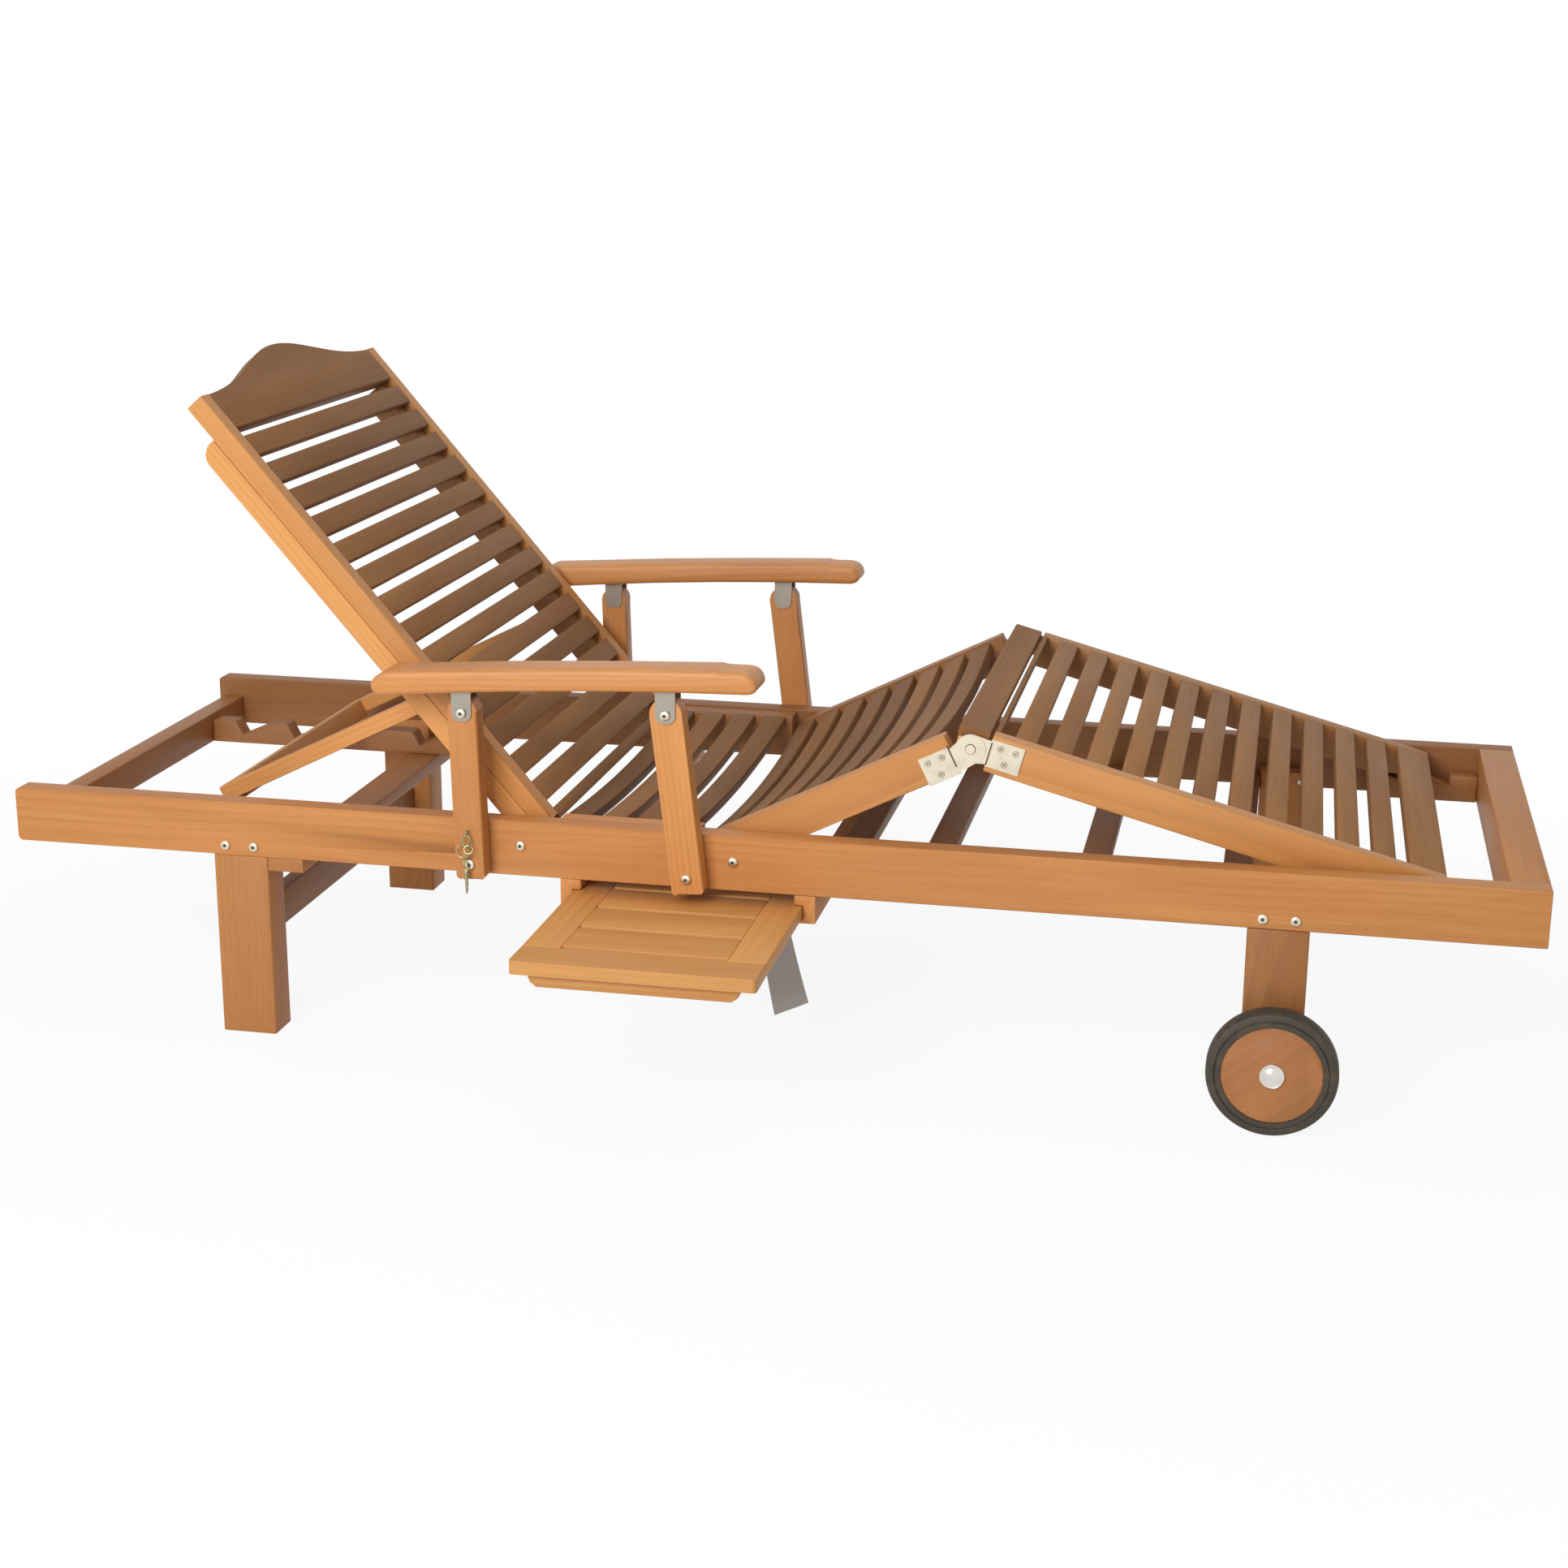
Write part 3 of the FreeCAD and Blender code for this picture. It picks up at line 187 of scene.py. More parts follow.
class Finish:
    """A material under construction."""

    def __init__(self, name):
        self.material = bpy.data.materials.new(name)
        self.material.use_nodes = True
        self.tree = self.material.node_tree
        self.tree.nodes.clear()
        self.output = self.tree.nodes.new("ShaderNodeOutputMaterial")

    def node(self, kind, settings=None, values=None, out=0):
        """Adds a node: its settings first, then the values or links of its sockets."""
        made = self.tree.nodes.new(kind)
        for key, value in (settings or {}).items():
            if key == "stops":
                self._stops(made.color_ramp, value)
            else:
                setattr(made, key, value)
        for key, value in (values or {}).items():
            self.feed(made.inputs[key], value)
        return Socket(self, made.outputs[out])

    def feed(self, target, value):
        if isinstance(value, Socket):
            self.tree.links.new(value.socket, target)
        else:
            target.default_value = value

    def _stops(self, ramp, stops):
        while len(ramp.elements) < len(stops):
            ramp.elements.new(0.5)
        for element, (place, colour) in zip(ramp.elements, stops):
            element.position = place
            element.color = colour

    def blend(self, factor, a, b, how="MIX"):
        made = self.tree.nodes.new("ShaderNodeMix")
        made.data_type = "RGBA"
        made.blend_type = how
        self.feed(made.inputs[0], factor)
        self.feed(made.inputs[6], a)
        self.feed(made.inputs[7], b)
        return Socket(self, made.outputs[2])

    def ramp(self, value, stops):
        return self.node("ShaderNodeValToRGB", {"stops": stops}, {0: value})

    def window(self, value, low, high):
        """0 below low, 1 above high, smooth between."""
        return self.node("ShaderNodeMapRange", {"interpolation_type": "SMOOTHSTEP"},
                         {0: value, 1: low, 2: high, 3: 0.0, 4: 1.0})

    def noise(self, vector, scale, detail=3.0, rough=0.55):
        return self.node("ShaderNodeTexNoise", {}, {"Vector": vector, "Scale": scale, "Detail": detail,
                                                    "Roughness": rough})

    def stretched(self, vector, stretch):
        return self.node("ShaderNodeVectorMath", {"operation": "MULTIPLY"}, {0: vector, 1: stretch})

    def surface(self, values):
        shader = self.node("ShaderNodeBsdfPrincipled", {}, values)
        self.tree.links.new(shader.socket, self.output.inputs["Surface"])
        return self.material


def timber(name, tones, gloss=0.52, coat=0.06):
    """Oiled hardwood: growth rings about an off-centre pith, long fibres, pores and board tone, with painted
    shade for the far and under boards carried in the tone.
    """
    pale, middle, dark = tones
    mat = Finish(name)
    grain = mat.node("ShaderNodeAttribute", {"attribute_name": "grain"}, {}, out=1)
    tone = mat.node("ShaderNodeAttribute", {"attribute_name": "tone"}, {}, out=2)
    parts = mat.tree.nodes.new("ShaderNodeSeparateXYZ")
    mat.tree.links.new(grain.socket, parts.inputs[0])
    across = Socket(mat, parts.outputs[1])
    deep = Socket(mat, parts.outputs[2])
    wander = mat.noise(mat.stretched(grain, (0.9, 5.0, 5.0)), 1.0, 2.0)
    waves = mat.noise(mat.stretched(grain, (3.0, 30.0, 30.0)), 1.0, 2.0)
    reach = (across * across + deep * deep) ** 0.5
    ring = (reach + wander * 0.050 + waves * 0.003) * 120.0
    saw = mat.node("ShaderNodeMath", {"operation": "FRACT"}, {0: ring})
    late = mat.window(saw, 0.25, 0.95) * (1.0 - mat.window(saw, 0.95, 1.0))
    fibre = mat.noise(mat.stretched(grain, (6.0, 520.0, 520.0)), 1.0, 3.0, 0.7)
    fine = mat.noise(mat.stretched(grain, (22.0, 1500.0, 1500.0)), 1.0, 2.0, 0.6)
    pores = mat.window(mat.noise(mat.stretched(grain, (45.0, 1150.0, 1150.0)), 1.0, 1.0), 0.66, 0.74)
    cloud = mat.noise(mat.stretched(grain, (2.2, 14.0, 14.0)), 1.0, 3.0)
    colour = mat.blend(mat.window(cloud, 0.30, 0.72), middle, pale)
    faint = mat.window(mat.noise(mat.stretched(grain, (1.5, 11.0, 11.0)), 1.0, 2.0), 0.35, 0.65) * 0.20 + 0.08
    colour = mat.blend(late * faint, colour, dark)
    colour = mat.blend(mat.window(fibre, 0.42, 0.78) * 0.34, colour, dark)
    colour = mat.blend(mat.window(fine, 0.50, 0.75) * 0.20, colour, pale)
    colour = mat.blend(pores * 0.42, colour, dark)
    # The tone ramp darkens a board by its tone, which also holds painted shade for the far side's inner
    # boards, the far rail and the under bars
    shade = mat.ramp(tone, [(0.0, (0.42, 0.39, 0.36, 1)), (0.25, (0.80, 0.78, 0.76, 1)),
                            (0.6, (0.98, 0.98, 0.98, 1)), (1.0, (1.12, 1.12, 1.10, 1))])
    colour = mat.blend(1.0, colour, shade, "MULTIPLY")
    relief = fibre * 0.6 + late * 0.5 - pores * 1.2
    bump = mat.node("ShaderNodeBump", {}, {"Strength": 0.22, "Distance": 0.0006, "Height": relief})
    rough = gloss + fibre * 0.12 - late * 0.05
    return mat.surface({"Base Color": colour, "Roughness": rough, "Normal": bump, "Coat Weight": coat,
                        "Coat Roughness": 0.35, "Specular IOR Level": 0.5 if coat else 0.25})


def object_point(mat):
    return mat.node("ShaderNodeTexCoord", {}, {}, out=3)


def satin_steel(name, colour, rough, streak):
    """Rolled or brushed steel with faint streaks and handling marks."""
    mat = Finish(name)
    point = object_point(mat)
    lines = mat.noise(mat.stretched(point, streak), 1.0, 2.0)
    marks = mat.noise(point, 55.0, 3.0)
    tint = mat.blend(mat.window(marks, 0.45, 0.70) * 0.25, colour, (0.42, 0.38, 0.32, 1))
    roughness = rough + lines * 0.14
    bump = mat.node("ShaderNodeBump", {}, {"Strength": 0.12, "Distance": 0.0002, "Height": lines})
    return mat.surface({"Base Color": tint, "Metallic": 1.0, "Roughness": roughness, "Normal": bump})


def aged_brass(name):
    mat = Finish(name)
    point = object_point(mat)
    patina = mat.window(mat.noise(point, 260.0, 4.0), 0.40, 0.62)
    colour = mat.blend(patina, (0.52, 0.45, 0.24, 1), (0.20, 0.19, 0.10, 1))
    return mat.surface({"Base Color": colour, "Metallic": 0.85, "Roughness": 0.38 + patina * 0.25})


def tyre_rubber_and_shade(name):
    """Grey-black rubber with dust and scuffs; the same dark material also serves as painted shade on the bolt
    sockets, hinge step lines and screw recesses.
    """
    mat = Finish(name)
    point = object_point(mat)
    scuff = mat.window(mat.noise(point, 42.0, 5.0, 0.65), 0.44, 0.70)
    grit = mat.noise(point, 620.0, 3.0)
    colour = mat.blend(scuff * 0.55, (0.040, 0.031, 0.021, 1), (0.125, 0.090, 0.048, 1))
    bump = mat.node("ShaderNodeBump", {}, {"Strength": 0.35, "Distance": 0.0004, "Height": grit})
    return mat.surface({"Base Color": colour, "Roughness": 0.62 + scuff * 0.2, "Normal": bump})


def plain_card(name):
    """Blank grey tag with faint fold shading."""
    mat = Finish(name)
    point = object_point(mat)
    mottle = mat.noise(point, 90.0, 3.0)
    colour = mat.blend(mottle, (0.36, 0.34, 0.32, 1), (0.46, 0.44, 0.42, 1))
    return mat.surface({"Base Color": colour, "Roughness": 0.6 + mottle * 0.1})


def ground_finish(name):
    """Pale floor that fades to plain white away from the lounger and keeps its soft shadow."""
    mat = Finish(name)
    point = object_point(mat)
    parts = mat.tree.nodes.new("ShaderNodeSeparateXYZ")
    mat.tree.links.new(point.socket, parts.inputs[0])
    x = Socket(mat, parts.outputs[0])
    y = Socket(mat, parts.outputs[1])
    distance = (x * x * 0.55 + y * y) ** 0.5
    fade = mat.window(distance, 0.75, 1.75)
    mottle = mat.noise(point, 3.0, 2.0)
    tint = mat.blend(mottle * 0.03, GROUND_COLOUR, (0.90, 0.90, 0.90, 1))
    diffuse = mat.node("ShaderNodeBsdfDiffuse", {}, {"Color": tint})
    glow = mat.node("ShaderNodeEmission", {}, {"Color": (1, 1, 1, 1), "Strength": 1.0})
    path = mat.tree.nodes.new("ShaderNodeLightPath")
    camera = Socket(mat, path.outputs["Is Camera Ray"])
    glossy = Socket(mat, path.outputs["Is Glossy Ray"])
    seen = mat.node("ShaderNodeMath", {"operation": "MAXIMUM"}, {0: camera, 1: glossy})
    share = (fade * 0.09 + 0.91) * seen
    shader = mat.node("ShaderNodeMixShader", {}, {0: share, 1: diffuse, 2: glow})
    mat.tree.links.new(shader.socket, mat.output.inputs["Surface"])
    return mat.material


def nothing_selected():
    if bpy.context.object and bpy.context.object.mode != "OBJECT":
        bpy.ops.object.mode_set(mode="OBJECT")
    bpy.ops.object.select_all(action="DESELECT")


def make_active(piece):
    nothing_selected()
    piece.select_set(True)
    bpy.context.view_layer.objects.active = piece


def edit(piece, kind="EDGE"):
    make_active(piece)
    bpy.ops.object.mode_set(mode="EDIT")
    bpy.ops.mesh.select_mode(type=kind)
    bpy.ops.mesh.select_all(action="SELECT")


def done():
    bpy.ops.object.mode_set(mode="OBJECT")


def smooth(degrees):
    """Smooths the active piece except where it turns more sharply."""
    bpy.ops.object.shade_smooth_by_angle(angle=math.radians(degrees))


def new_piece(name, mesh):
    piece = bpy.data.objects.new(name, mesh)
    bpy.context.scene.collection.objects.link(piece)
    return piece


def spun(name, points, links, middle, steps, merge=MERGE_NEAR):
    """A piece turned from its section about the axle's direction."""
    mesh = bpy.data.meshes.new(name)
    mesh.from_pydata(points, links, [])
    piece = new_piece(name, mesh)
    edit(piece)
    bpy.ops.mesh.spin(steps=steps, angle=math.tau, center=middle, axis=(0, 1, 0))
    bpy.ops.mesh.select_all(action="SELECT")
    bpy.ops.mesh.remove_doubles(threshold=merge)
    bpy.ops.mesh.normals_make_consistent(inside=False)
    done()
    return piece


def copy_of(node):
    """A merged copy of a CAD node's mesh as a new piece."""
    source = frame["nodes"][node]
    piece = new_piece(node + "_dressed", source.data.copy())
    piece.data.materials.clear()
    edit(piece)
    bpy.ops.mesh.remove_doubles(threshold=MERGE_NEAR)
    bpy.ops.mesh.dissolve_limited(angle_limit=FLAT_TURN)
    done()
    return piece


def islands(mesh):
    """The vertex numbers of each separate board in a mesh."""
    owner = list(range(len(mesh.vertices)))

    def root(number):
        while owner[number] != number:
            owner[number] = owner[owner[number]]
            number = owner[number]
        return number

    for link in mesh.edges:
        a, b = root(link.vertices[0]), root(link.vertices[1])
        if a != b:
            owner[a] = b
    groups = {}
    for number in range(len(owner)):
        groups.setdefault(root(number), []).append(number)
    return list(groups.values())


def board_axes(points):
    """Directions along, across and through a board, from its spread."""
    middle = points.mean(axis=0)
    spread = (points - middle).T @ (points - middle)
    directions = np.linalg.eigh(spread)[1]
    return directions[:, ::-1].T


def mark_grain(piece, seed, tones, shaded=False):
    """Stores each board's own grain coordinates and tone; the far side's shaded boards get lower tones as
    painted shade.
    """
    mesh = piece.data
    points = np.zeros(len(mesh.vertices) * 3)
    mesh.vertices.foreach_get("co", points)
    points = points.reshape(-1, 3)
    grain = np.zeros_like(points)
    tone = np.zeros(len(points))
    rng = random.Random(seed)
    for group in sorted(islands(mesh), key=lambda g: tuple(np.round(points[g].min(axis=0), 4))):
        axes = board_axes(points[group])
        local = (points[group] - points[group].mean(axis=0)) @ axes.T
        offset = (rng.uniform(-8, 8), rng.uniform(-0.05, 0.05), rng.uniform(0.02, 0.12))
        grain[group] = local + np.array(offset)
        # Boards of the far side in the shaded pairs get a lower tone as painted shade
        tone[group] = rng.uniform(*(SHADED if shaded and points[group][:, 1].min() > MIDDLE_Y else tones))
    mesh.attributes.new("grain", "FLOAT_VECTOR", "POINT").data.foreach_set("vector", grain.ravel())
    mesh.attributes.new("tone", "FLOAT", "POINT").data.foreach_set("value", tone)


def ease_edges(piece, width, shortest, segments=2, sharpest=35.0):
    """Rounds the long sharp edges with a bevel and smooths the rest."""
    mesh = piece.data
    faces = {}
    for face in mesh.polygons:
        for key in face.edge_keys:
            faces.setdefault(key, []).append(face.normal)
    weights = np.zeros(len(mesh.edges))
    for number, link in enumerate(mesh.edges):
        normals = faces.get(tuple(sorted(link.vertices)), [])
        a, b = (mesh.vertices[v].co for v in link.vertices)
        if len(normals) == 2 and (a - b).length > shortest:
            if normals[0].angle(normals[1], 0.0) > math.radians(sharpest):
                weights[number] = 1.0
    mesh.attributes.new("bevel_weight_edge", "FLOAT", "EDGE").data.foreach_set("value", weights)
    bevel = piece.modifiers.new("eased", "BEVEL")
    bevel.width = width
    bevel.segments = segments
    bevel.limit_method = "WEIGHT"
    bevel.use_clamp_overlap = False
    make_active(piece)
    bpy.ops.object.modifier_apply(modifier=bevel.name)
    smooth(32)


def dress(node, material, width, seed, shortest=EASED_FROM, segments=2):
    """The visible piece for a CAD node: eased edges, grain and finish."""
    piece = copy_of(node)
    ease_edges(piece, width, shortest, segments)
    mark_grain(piece, seed, NODE_TONES_AND_SHADE.get(node, TONES), node in SHADED_PAIRS)
    piece.data.materials.append(material)
    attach(piece, NODE_BODY[node])
    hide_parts(node)
    return piece


def repaint(node, material):
    part = frame["nodes"][node]
    part.data.materials.clear()
    part.data.materials.append(material)


def settle(piece, name, body, material):
    """Names a new piece, applies its place and rides it on a body."""
    piece.name = name
    make_active(piece)
    bpy.ops.object.transform_apply(location=True, rotation=True, scale=True)
    piece.data.materials.clear()
    piece.data.materials.append(material)
    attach(piece, body)
    return piece


def join(pieces):
    nothing_selected()
    for piece in pieces:
        piece.select_set(True)
    bpy.context.view_layer.objects.active = pieces[0]
    bpy.ops.object.transform_apply(location=True, rotation=True, scale=True)
    bpy.ops.object.join()
    return bpy.context.object


def ring_piece(place, radius, wire, turn, stretch=1.0):
    bpy.ops.mesh.primitive_torus_add(location=place, rotation=turn, major_radius=radius, minor_radius=wire,
                                     major_segments=28, minor_segments=10)
    piece = bpy.context.object
    piece.scale = (1.0, stretch, 1.0)
    return piece


def dress_joinery(finishes):
    """Every wooden node as boards with eased edges."""
    wide = {"arm_near": ARM_ROUND, "arm_far": ARM_ROUND}
    for number, (node, slot) in enumerate(sorted(NODE_SLOT.items())):
        if slot not in finishes or node.startswith("wheel_disc"):
            continue
        width = wide.get(node, BOARD_ROUND)
        if "post" in node or "leg_" in node:
            width = LEG_ROUND
        shortest = 0.0 if node in wide else EASED_FROM
        dress(node, finishes[slot], width, 100 + number, shortest, 3 if node in wide else 2)


def wheel_disc(side, material):
    """Turned wooden disc: grain runs straight across its face."""
    node = "wheel_disc_" + side
    piece = copy_of(node)
    mesh = piece.data
    mark = mesh.attributes.new("grain", "FLOAT_VECTOR", "POINT")
    low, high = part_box(node)
    middle = (low + high) / 2
    tilt = math.radians(DISC_TURN[side])
    for number, vertex in enumerate(mesh.vertices):
        x, y, z = vertex.co - middle
        along = x * math.cos(tilt) + z * math.sin(tilt)
        across = -x * math.sin(tilt) + z * math.cos(tilt)
        mark.data[number].vector = Vector((along, across, y)) + DISC_PITH
    tone = np.full(len(mesh.vertices), DISC_TONE)
    mesh.attributes.new("tone", "FLOAT", "POINT").data.foreach_set("value", tone)
    make_active(piece)
    smooth(32)
    piece.data.materials.append(material)
    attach(piece, NODE_BODY[node])
    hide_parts(node)


def tyre_piece(side, material):
    """Solid tyre: square-shouldered section with a shallow side groove, spun about the axle."""
    node = "tyre_" + side
    low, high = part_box(node)
    middle = (low + high) / 2
    outer = (high.z - low.z) / 2
    half = (high.y - low.y) / 2
    inner = outer - TYRE_DEPTH
    wall = [(inner, half), (inner + 0.006, half), (inner + 0.0075, half - TYRE_GROOVE)]
    wall += [(inner + 0.009, half), (outer - 0.0055, half), (outer - 0.0018, half - 0.0018)]
    wall += [(outer, half - TYRE_SHOULDER)]
    section = wall + [(radius, -y) for radius, y in reversed(wall)]
    points = [(middle.x + radius, middle.y + y, middle.z) for radius, y in section]
    links = [(number, (number + 1) % len(points)) for number in range(len(points))]
    piece = spun(node + "_spun", points, links, middle, 96)
    smooth(38)
    piece.data.materials.append(material)
    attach(piece, NODE_BODY[node])
    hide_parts(node)


def pin_set(side, material):
    """Screw eye, pointed link, split ring, chain and the slim locking pin that hangs from it."""
    node = "lock_pin_" + side
    low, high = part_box(node)
    sign = -1 if side == "near" else 1
    face = high.y if sign < 0 else low.y
    x = (low.x + high.x) / 2
    y = face + sign * PIN_REACH
    top = high.z + EYE_RISE
    pieces = [ring_piece((x, face + sign * EYE_REACH, top), 0.0036, 0.0011, (0, math.radians(90), 0))]
    bpy.ops.mesh.primitive_cylinder_add(vertices=16, radius=0.0013, depth=0.0050,
                                        location=(x, face + sign * 0.0022, top), rotation=ACROSS)
    pieces.append(bpy.context.object)
    pieces.append(ring_piece((x, y, top - 0.0095), 0.0052, 0.0010, ACROSS, 1.5))
    pieces.append(ring_piece((x - 0.0050, y, top - 0.0235), 0.0085, 0.0009, (math.radians(84), 0, 0)))
    pieces.append(ring_piece((x + 0.0035, y + sign * 0.0022, top - 0.0200), 0.0056, 0.0010,
                             (math.radians(70), math.radians(30), 0)))
    for number in range(CHAIN_LINKS):
        turn = ACROSS if number % 2 else (math.radians(90), math.radians(90), 0)
        place = (x - 0.0012, y, top - CHAIN_DROP - number * CHAIN_STEP)
        pieces.append(ring_piece(place, 0.0022, 0.0007, turn, 1.35))
    bottom = low.z - PIN_DROP
    bpy.ops.mesh.primitive_cone_add(vertices=20, radius1=0.0014, radius2=0.0027, depth=PIN_LENGTH,
                                    location=(x - 0.0008, y, bottom + PIN_LENGTH / 2))
    pieces.append(bpy.context.object)
    bpy.ops.mesh.primitive_uv_sphere_add(segments=16, ring_count=10, radius=0.0030,
                                         location=(x - 0.0008, y, bottom + PIN_LENGTH))
    pieces.append(bpy.context.object)
    piece = join(pieces)
    smooth(40)
    settle(piece, "locking_pin_" + side, NODE_BODY[node], material)
    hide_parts(node)


def tag_piece(material, cord_material):
    """Blank card tag hanging by a loop below the foot-side tray runner."""
    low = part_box("tray_runner_foot")[0]
    top_left = low + TAG_HANG
    corners = [top_left + Vector(corner) for corner in TAG_CORNERS]
    mesh = bpy.data.meshes.new("tag")
    mesh.from_pydata([tuple(corner) for corner in corners], [], [(0, 1, 2, 3)])
    piece = new_piece("tag", mesh)
    edit(piece)
    bpy.ops.mesh.subdivide(number_cuts=9)
    done()
    for vertex in mesh.vertices:
        drop = (top_left.z - vertex.co.z) / TAG_LONG
        vertex.co.y -= TAG_SAG * math.sin(drop * 2.6)
    thick = piece.modifiers.new("card", "SOLIDIFY")
    thick.thickness = TAG_THICK
    make_active(piece)
    bpy.ops.object.modifier_apply(modifier=thick.name)
    smooth(40)
    settle(piece, "blank_tag", "frame", material)
    loop = ring_piece(low + TAG_LOOP, 0.0062, 0.0004, ACROSS)
    settle(loop, "tag_loop", "frame", cord_material)


def outer_spots(node):
    """Side and centre of the outermost face of each bolt in a node."""
    points = np.array([v.co for v in frame["nodes"][node].data.vertices])
    spots = []
    for side in (-1, 1):
        half = points[(points[:, 1] - MIDDLE_Y) * side > 0]
        half = half[np.argsort(half[:, 0])]
        breaks = np.nonzero(np.diff(half[:, 0]) > BOLT_SPACING)[0] + 1
        for bolt in np.split(half, breaks):
            if len(bolt) == 0:
                continue
            face = (bolt[:, 1] * side).max()
            rim = bolt[bolt[:, 1] * side > face - 0.0001]
            middle = (rim.min(axis=0) + rim.max(axis=0)) / 2
            spots.append((side, Vector(middle)))
    return spots


def bolt_heads(finish, shade):
    """Button heads over the plain heads of the CAD bolts, each with a thin dark hexagon disc as painted shade
    of its socket.
    """
    for node in ("frame_bolts", "pivot_pins", "arm_brackets_near", "arm_brackets_far"):
        buttons, socket_shades = [], []
        for side, place in outer_spots(node):
            bpy.ops.mesh.primitive_uv_sphere_add(segments=24, ring_count=12, radius=HEAD_RADIUS,
                                                 location=place)
            button = bpy.context.object
            button.scale = (1.0, HEAD_FLATNESS, 1.0)
            buttons.append(button)
            # A thin dark hexagon disc on the button's face is painted shade of the socket recess
            front = place + Vector((0, side * SOCKET_FRONT, 0))
            bpy.ops.mesh.primitive_cylinder_add(vertices=6, radius=SOCKET_RADIUS, depth=SOCKET_DEPTH,
                                                location=front, rotation=ACROSS)
            socket_shades.append(bpy.context.object)
        heads = join(buttons)
        smooth(60)
        settle(heads, node + "_buttons", NODE_BODY[node], finish)
        settle(join(socket_shades), node + "_sockets", NODE_BODY[node], shade)


def leaf_step_shadows(shade):
    """Painted shadow lines where each hinge leaf steps over to its knuckle, and a dark ring as painted shade
    around the rivet.
    """
    joints = {j["name"]: j for j in frame["record"]["behaviour"]["joints"]}
    knee = Vector(joints["knee_fold"]["pos_m"])
    low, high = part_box("thigh_leaves")
    for node, tilt, along in (("thigh_leaves", -THIGH_TILT, -0.0255), ("calf_leaves", CALF_TILT, 0.0235)):
        lines = []
        turn = Matrix.Rotation(math.radians(tilt), 3, "Y")
        for y in (low.y, high.y):
            side = -1 if y < MIDDLE_Y else 1
            place = knee + turn @ Vector((along, 0, 0.001))
            depth = STEP_SHADOW_PROUD if node == "thigh_leaves" else -0.0015
            place.y = y + side * depth
            bpy.ops.mesh.primitive_cube_add(size=1.0, location=place, rotation=(0, math.radians(tilt), 0))
            bpy.context.object.scale = STEP_SHADOW_SIZE
            lines.append(bpy.context.object)
            if node == "thigh_leaves":
                lines.append(ring_piece((knee.x, y + side * STEP_SHADOW_PROUD, knee.z), 0.0064, 0.0004, ACROSS))
        settle(join(lines), node + "_joint_line", NODE_BODY[node], shade)


def domed_cap(side, material):
    """Hub cap: a rolled rim, a shallow valley and a round dome."""
    node = "hub_cap_" + side
    low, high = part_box(node)
    middle = (low + high) / 2
    outward = -1 if side == "near" else 1
    base = high.y if outward < 0 else low.y
    tall = high.y - low.y
    wide = (high.x - low.x) / 2
    section = [(wide, 0.0), (wide, 0.35), (wide * 0.93, 0.52), (wide * 0.84, 0.42), (wide * 0.72, 0.40)]
    section += [(wide * 0.60, 0.58), (wide * 0.42, 0.86), (wide * 0.22, 0.98), (0.0002, 1.0)]
    points = [(middle.x + radius, base + outward * tall * height, middle.z) for radius, height in section]
    links = [(number, number + 1) for number in range(len(points) - 1)]
    piece = spun(node + "_dome", points, links, middle, 48, MERGE_NEAR * 1.5)
    smooth(50)
    piece.data.materials.append(material)
    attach(piece, NODE_BODY[node])
    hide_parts(node)


def screw_cross_shades(material):
    """Painted shade of the cross recesses in the screws of the knee leaves: dark crossed bars and a dark ring
    on each head.
    """
    for node in ("thigh_leaves", "calf_leaves"):
        mesh = copy_of(node)
        points = np.array([v.co for v in mesh.data.vertices])
        spots = []
        for group in islands(mesh.data):
            local = points[group]
            size = local.max(axis=0) - local.min(axis=0)
            if size[1] < SCREW_DEEPEST:
                spots.append(((local.max(axis=0) + local.min(axis=0)) / 2, size[1] / 2))
        bpy.data.objects.remove(mesh)
        pieces = []
        for place, half in spots:
            sign = -1 if place[1] < MIDDLE_Y else 1
            rim = (place[0], place[1] + sign * half, place[2])
            for turn in (CROSS_TURN, CROSS_TURN + math.pi / 2):
                bpy.ops.mesh.primitive_cube_add(size=1.0, location=rim, rotation=(0, turn, 0))
                bar = bpy.context.object
                bar.scale = CROSS_BAR
                pieces.append(bar)
            pieces.append(ring_piece(rim, 0.0035, 0.0003, ACROSS))
        settle(join(pieces), node + "_screw_recess", NODE_BODY[node], material)


def camera_of_photo():
    """Camera placed and turned as the photograph was taken."""
    sin_yaw, cos_yaw = math.sin(CAMERA_YAW), math.cos(CAMERA_YAW)
    sin_pitch, cos_pitch = math.sin(CAMERA_PITCH), math.cos(CAMERA_PITCH)
    forward = Vector((-sin_yaw * cos_pitch, cos_yaw * cos_pitch, -sin_pitch))
    right = Vector((cos_yaw, sin_yaw, 0))
    up = right.cross(forward)
    cos_roll, sin_roll = math.cos(CAMERA_ROLL), math.sin(CAMERA_ROLL)
    turned_right = right * cos_roll + up * sin_roll
    turned_up = up * cos_roll - right * sin_roll
    data = bpy.data.cameras.new("photo_camera")
    data.sensor_width = CAMERA_SENSOR
    data.lens = CAMERA_LENS
    data.clip_end = CAMERA_REACH
    camera = bpy.data.objects.new("photo_camera", data)
    bpy.context.scene.collection.objects.link(camera)
    turn = Matrix((turned_right, turned_up, -forward)).transposed().to_4x4()
    camera.matrix_world = Matrix.Translation(CAMERA_PLACE) @ turn
    bpy.context.scene.camera = camera


def area_light(name, place, target, size, power):
    data = bpy.data.lights.new(name, "AREA")
    data.size = size
    data.energy = power
    lamp = bpy.data.objects.new(name, data)
    bpy.context.scene.collection.objects.link(lamp)
    lamp.location = place
    lamp.rotation_euler = (Vector(target) - Vector(place)).to_track_quat("-Z", "Y").to_euler()


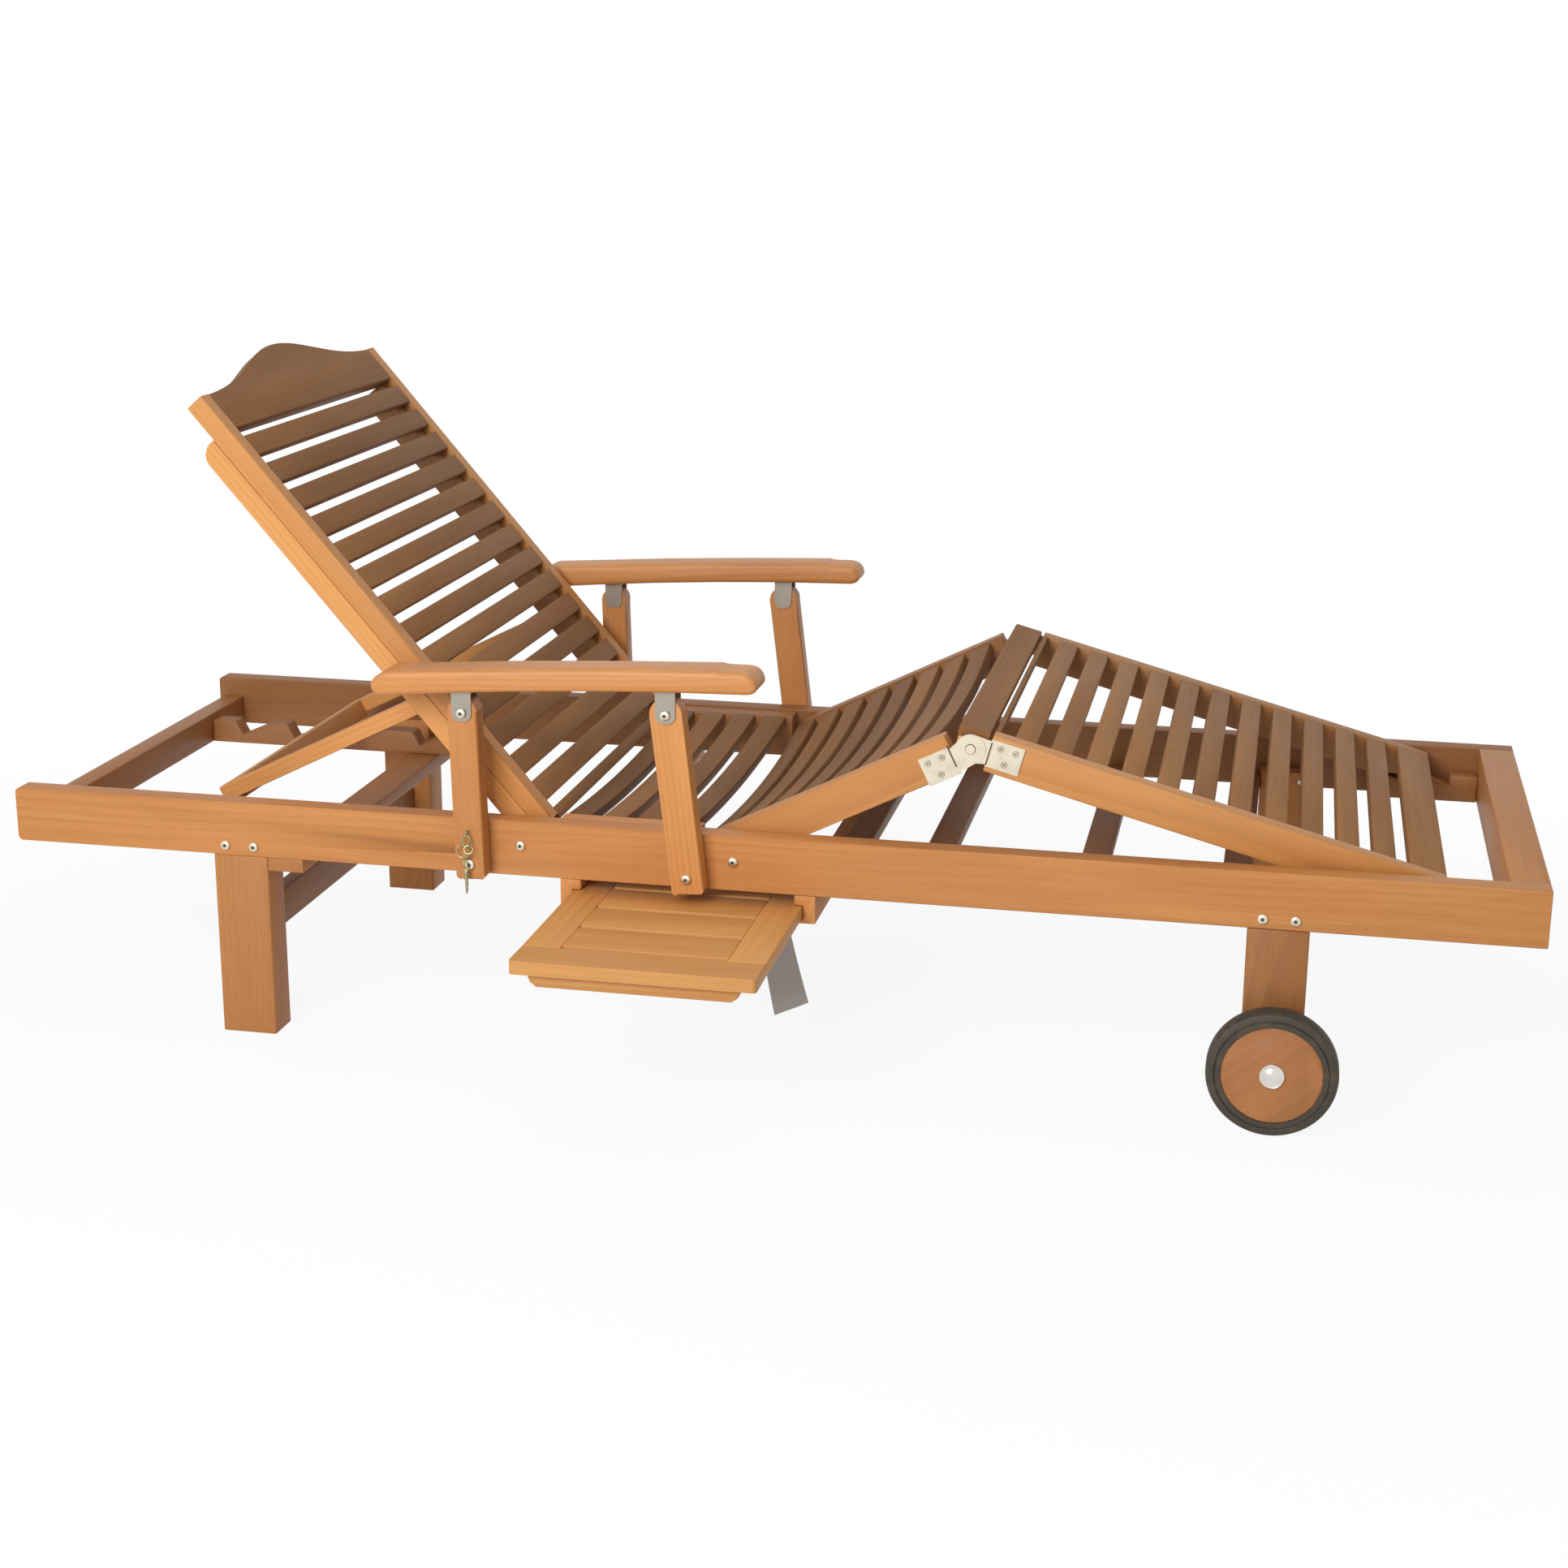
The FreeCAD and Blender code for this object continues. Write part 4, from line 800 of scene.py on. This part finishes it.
def studio():
    """Soft front light, weak top light, even sky and a pale floor."""
    area_light("front_light", KEY_PLACE, KEY_TARGET, KEY_SIZE, KEY_POWER)
    area_light("top_light", TOP_PLACE, TOP_TARGET, TOP_SIZE, TOP_POWER)
    world = bpy.data.worlds.new("studio")
    bpy.context.scene.world = world
    world.use_nodes = True
    nodes, links = world.node_tree.nodes, world.node_tree.links
    nodes.clear()
    output = nodes.new("ShaderNodeOutputWorld")
    soft = nodes.new("ShaderNodeBackground")
    soft.inputs[0].default_value = (1, 1, 1, 1)
    soft.inputs[1].default_value = SKY_LEVEL
    white = nodes.new("ShaderNodeBackground")
    white.inputs[0].default_value = (1, 1, 1, 1)
    white.inputs[1].default_value = 1.0
    path = nodes.new("ShaderNodeLightPath")
    seen = nodes.new("ShaderNodeMath")
    seen.operation = "MAXIMUM"
    links.new(path.outputs["Is Camera Ray"], seen.inputs[0])
    links.new(path.outputs["Is Glossy Ray"], seen.inputs[1])
    mix = nodes.new("ShaderNodeMixShader")
    links.new(seen.outputs[0], mix.inputs[0])
    links.new(soft.outputs[0], mix.inputs[1])
    links.new(white.outputs[0], mix.inputs[2])
    links.new(mix.outputs[0], output.inputs[0])
    nothing_selected()
    bpy.ops.mesh.primitive_plane_add(size=GROUND_REACH * 2, location=(0, 0, 0))
    ground = bpy.context.object
    ground.name = "ground"
    ground.data.materials.append(ground_finish("ground_white"))
    bpy.context.scene.view_settings.view_transform = "Standard"


camera_of_photo()
studio()

FINISHES = {
    "frame_wood": timber("oiled_frame_timber", OILED),
    "stile_wood": timber("oiled_stile_timber", STILE),
    "slat_wood": timber("dry_slat_timber", DRY, 0.60, 0.0),
    "arm_wood": timber("oiled_arm_timber", OILED, 0.46, 0.12),
    "tray_wood": timber("pale_tray_timber", TRAY),
}
STEEL = satin_steel("satin_steel", (0.78, 0.70, 0.55, 1), 0.26, (700.0, 60.0, 60.0))
STRAP_STEEL = satin_steel("strap_steel", (0.34, 0.31, 0.26, 1), 0.38, (60.0, 60.0, 500.0))
CHROME = satin_steel("polished_cap", (0.72, 0.69, 0.64, 1), 0.12, (80.0, 80.0, 80.0))
BRASS = aged_brass("aged_brass")
# The rubber material doubles as the dark colour of painted shade on sockets, hinge lines and screw recesses
RUBBER_AND_SHADE = tyre_rubber_and_shade("tyre_rubber_and_shade")

dress_joinery(FINISHES)
DISC_TIMBER = timber("wheel_timber", DARK)
for wheel_side in ("near", "far"):
    wheel_disc(wheel_side, DISC_TIMBER)
    tyre_piece(wheel_side, RUBBER_AND_SHADE)
    pin_set(wheel_side, BRASS)
    domed_cap(wheel_side, CHROME)
    repaint("arm_brackets_" + wheel_side, STRAP_STEEL)
for steel_node, steel_slot in NODE_SLOT.items():
    if steel_slot == "steel" and not steel_node.startswith("arm_brackets"):
        repaint(steel_node, STEEL)
bolt_heads(STEEL, RUBBER_AND_SHADE)
leaf_step_shadows(RUBBER_AND_SHADE)
screw_cross_shades(RUBBER_AND_SHADE)
tag_piece(plain_card("blank_card"), BRASS)
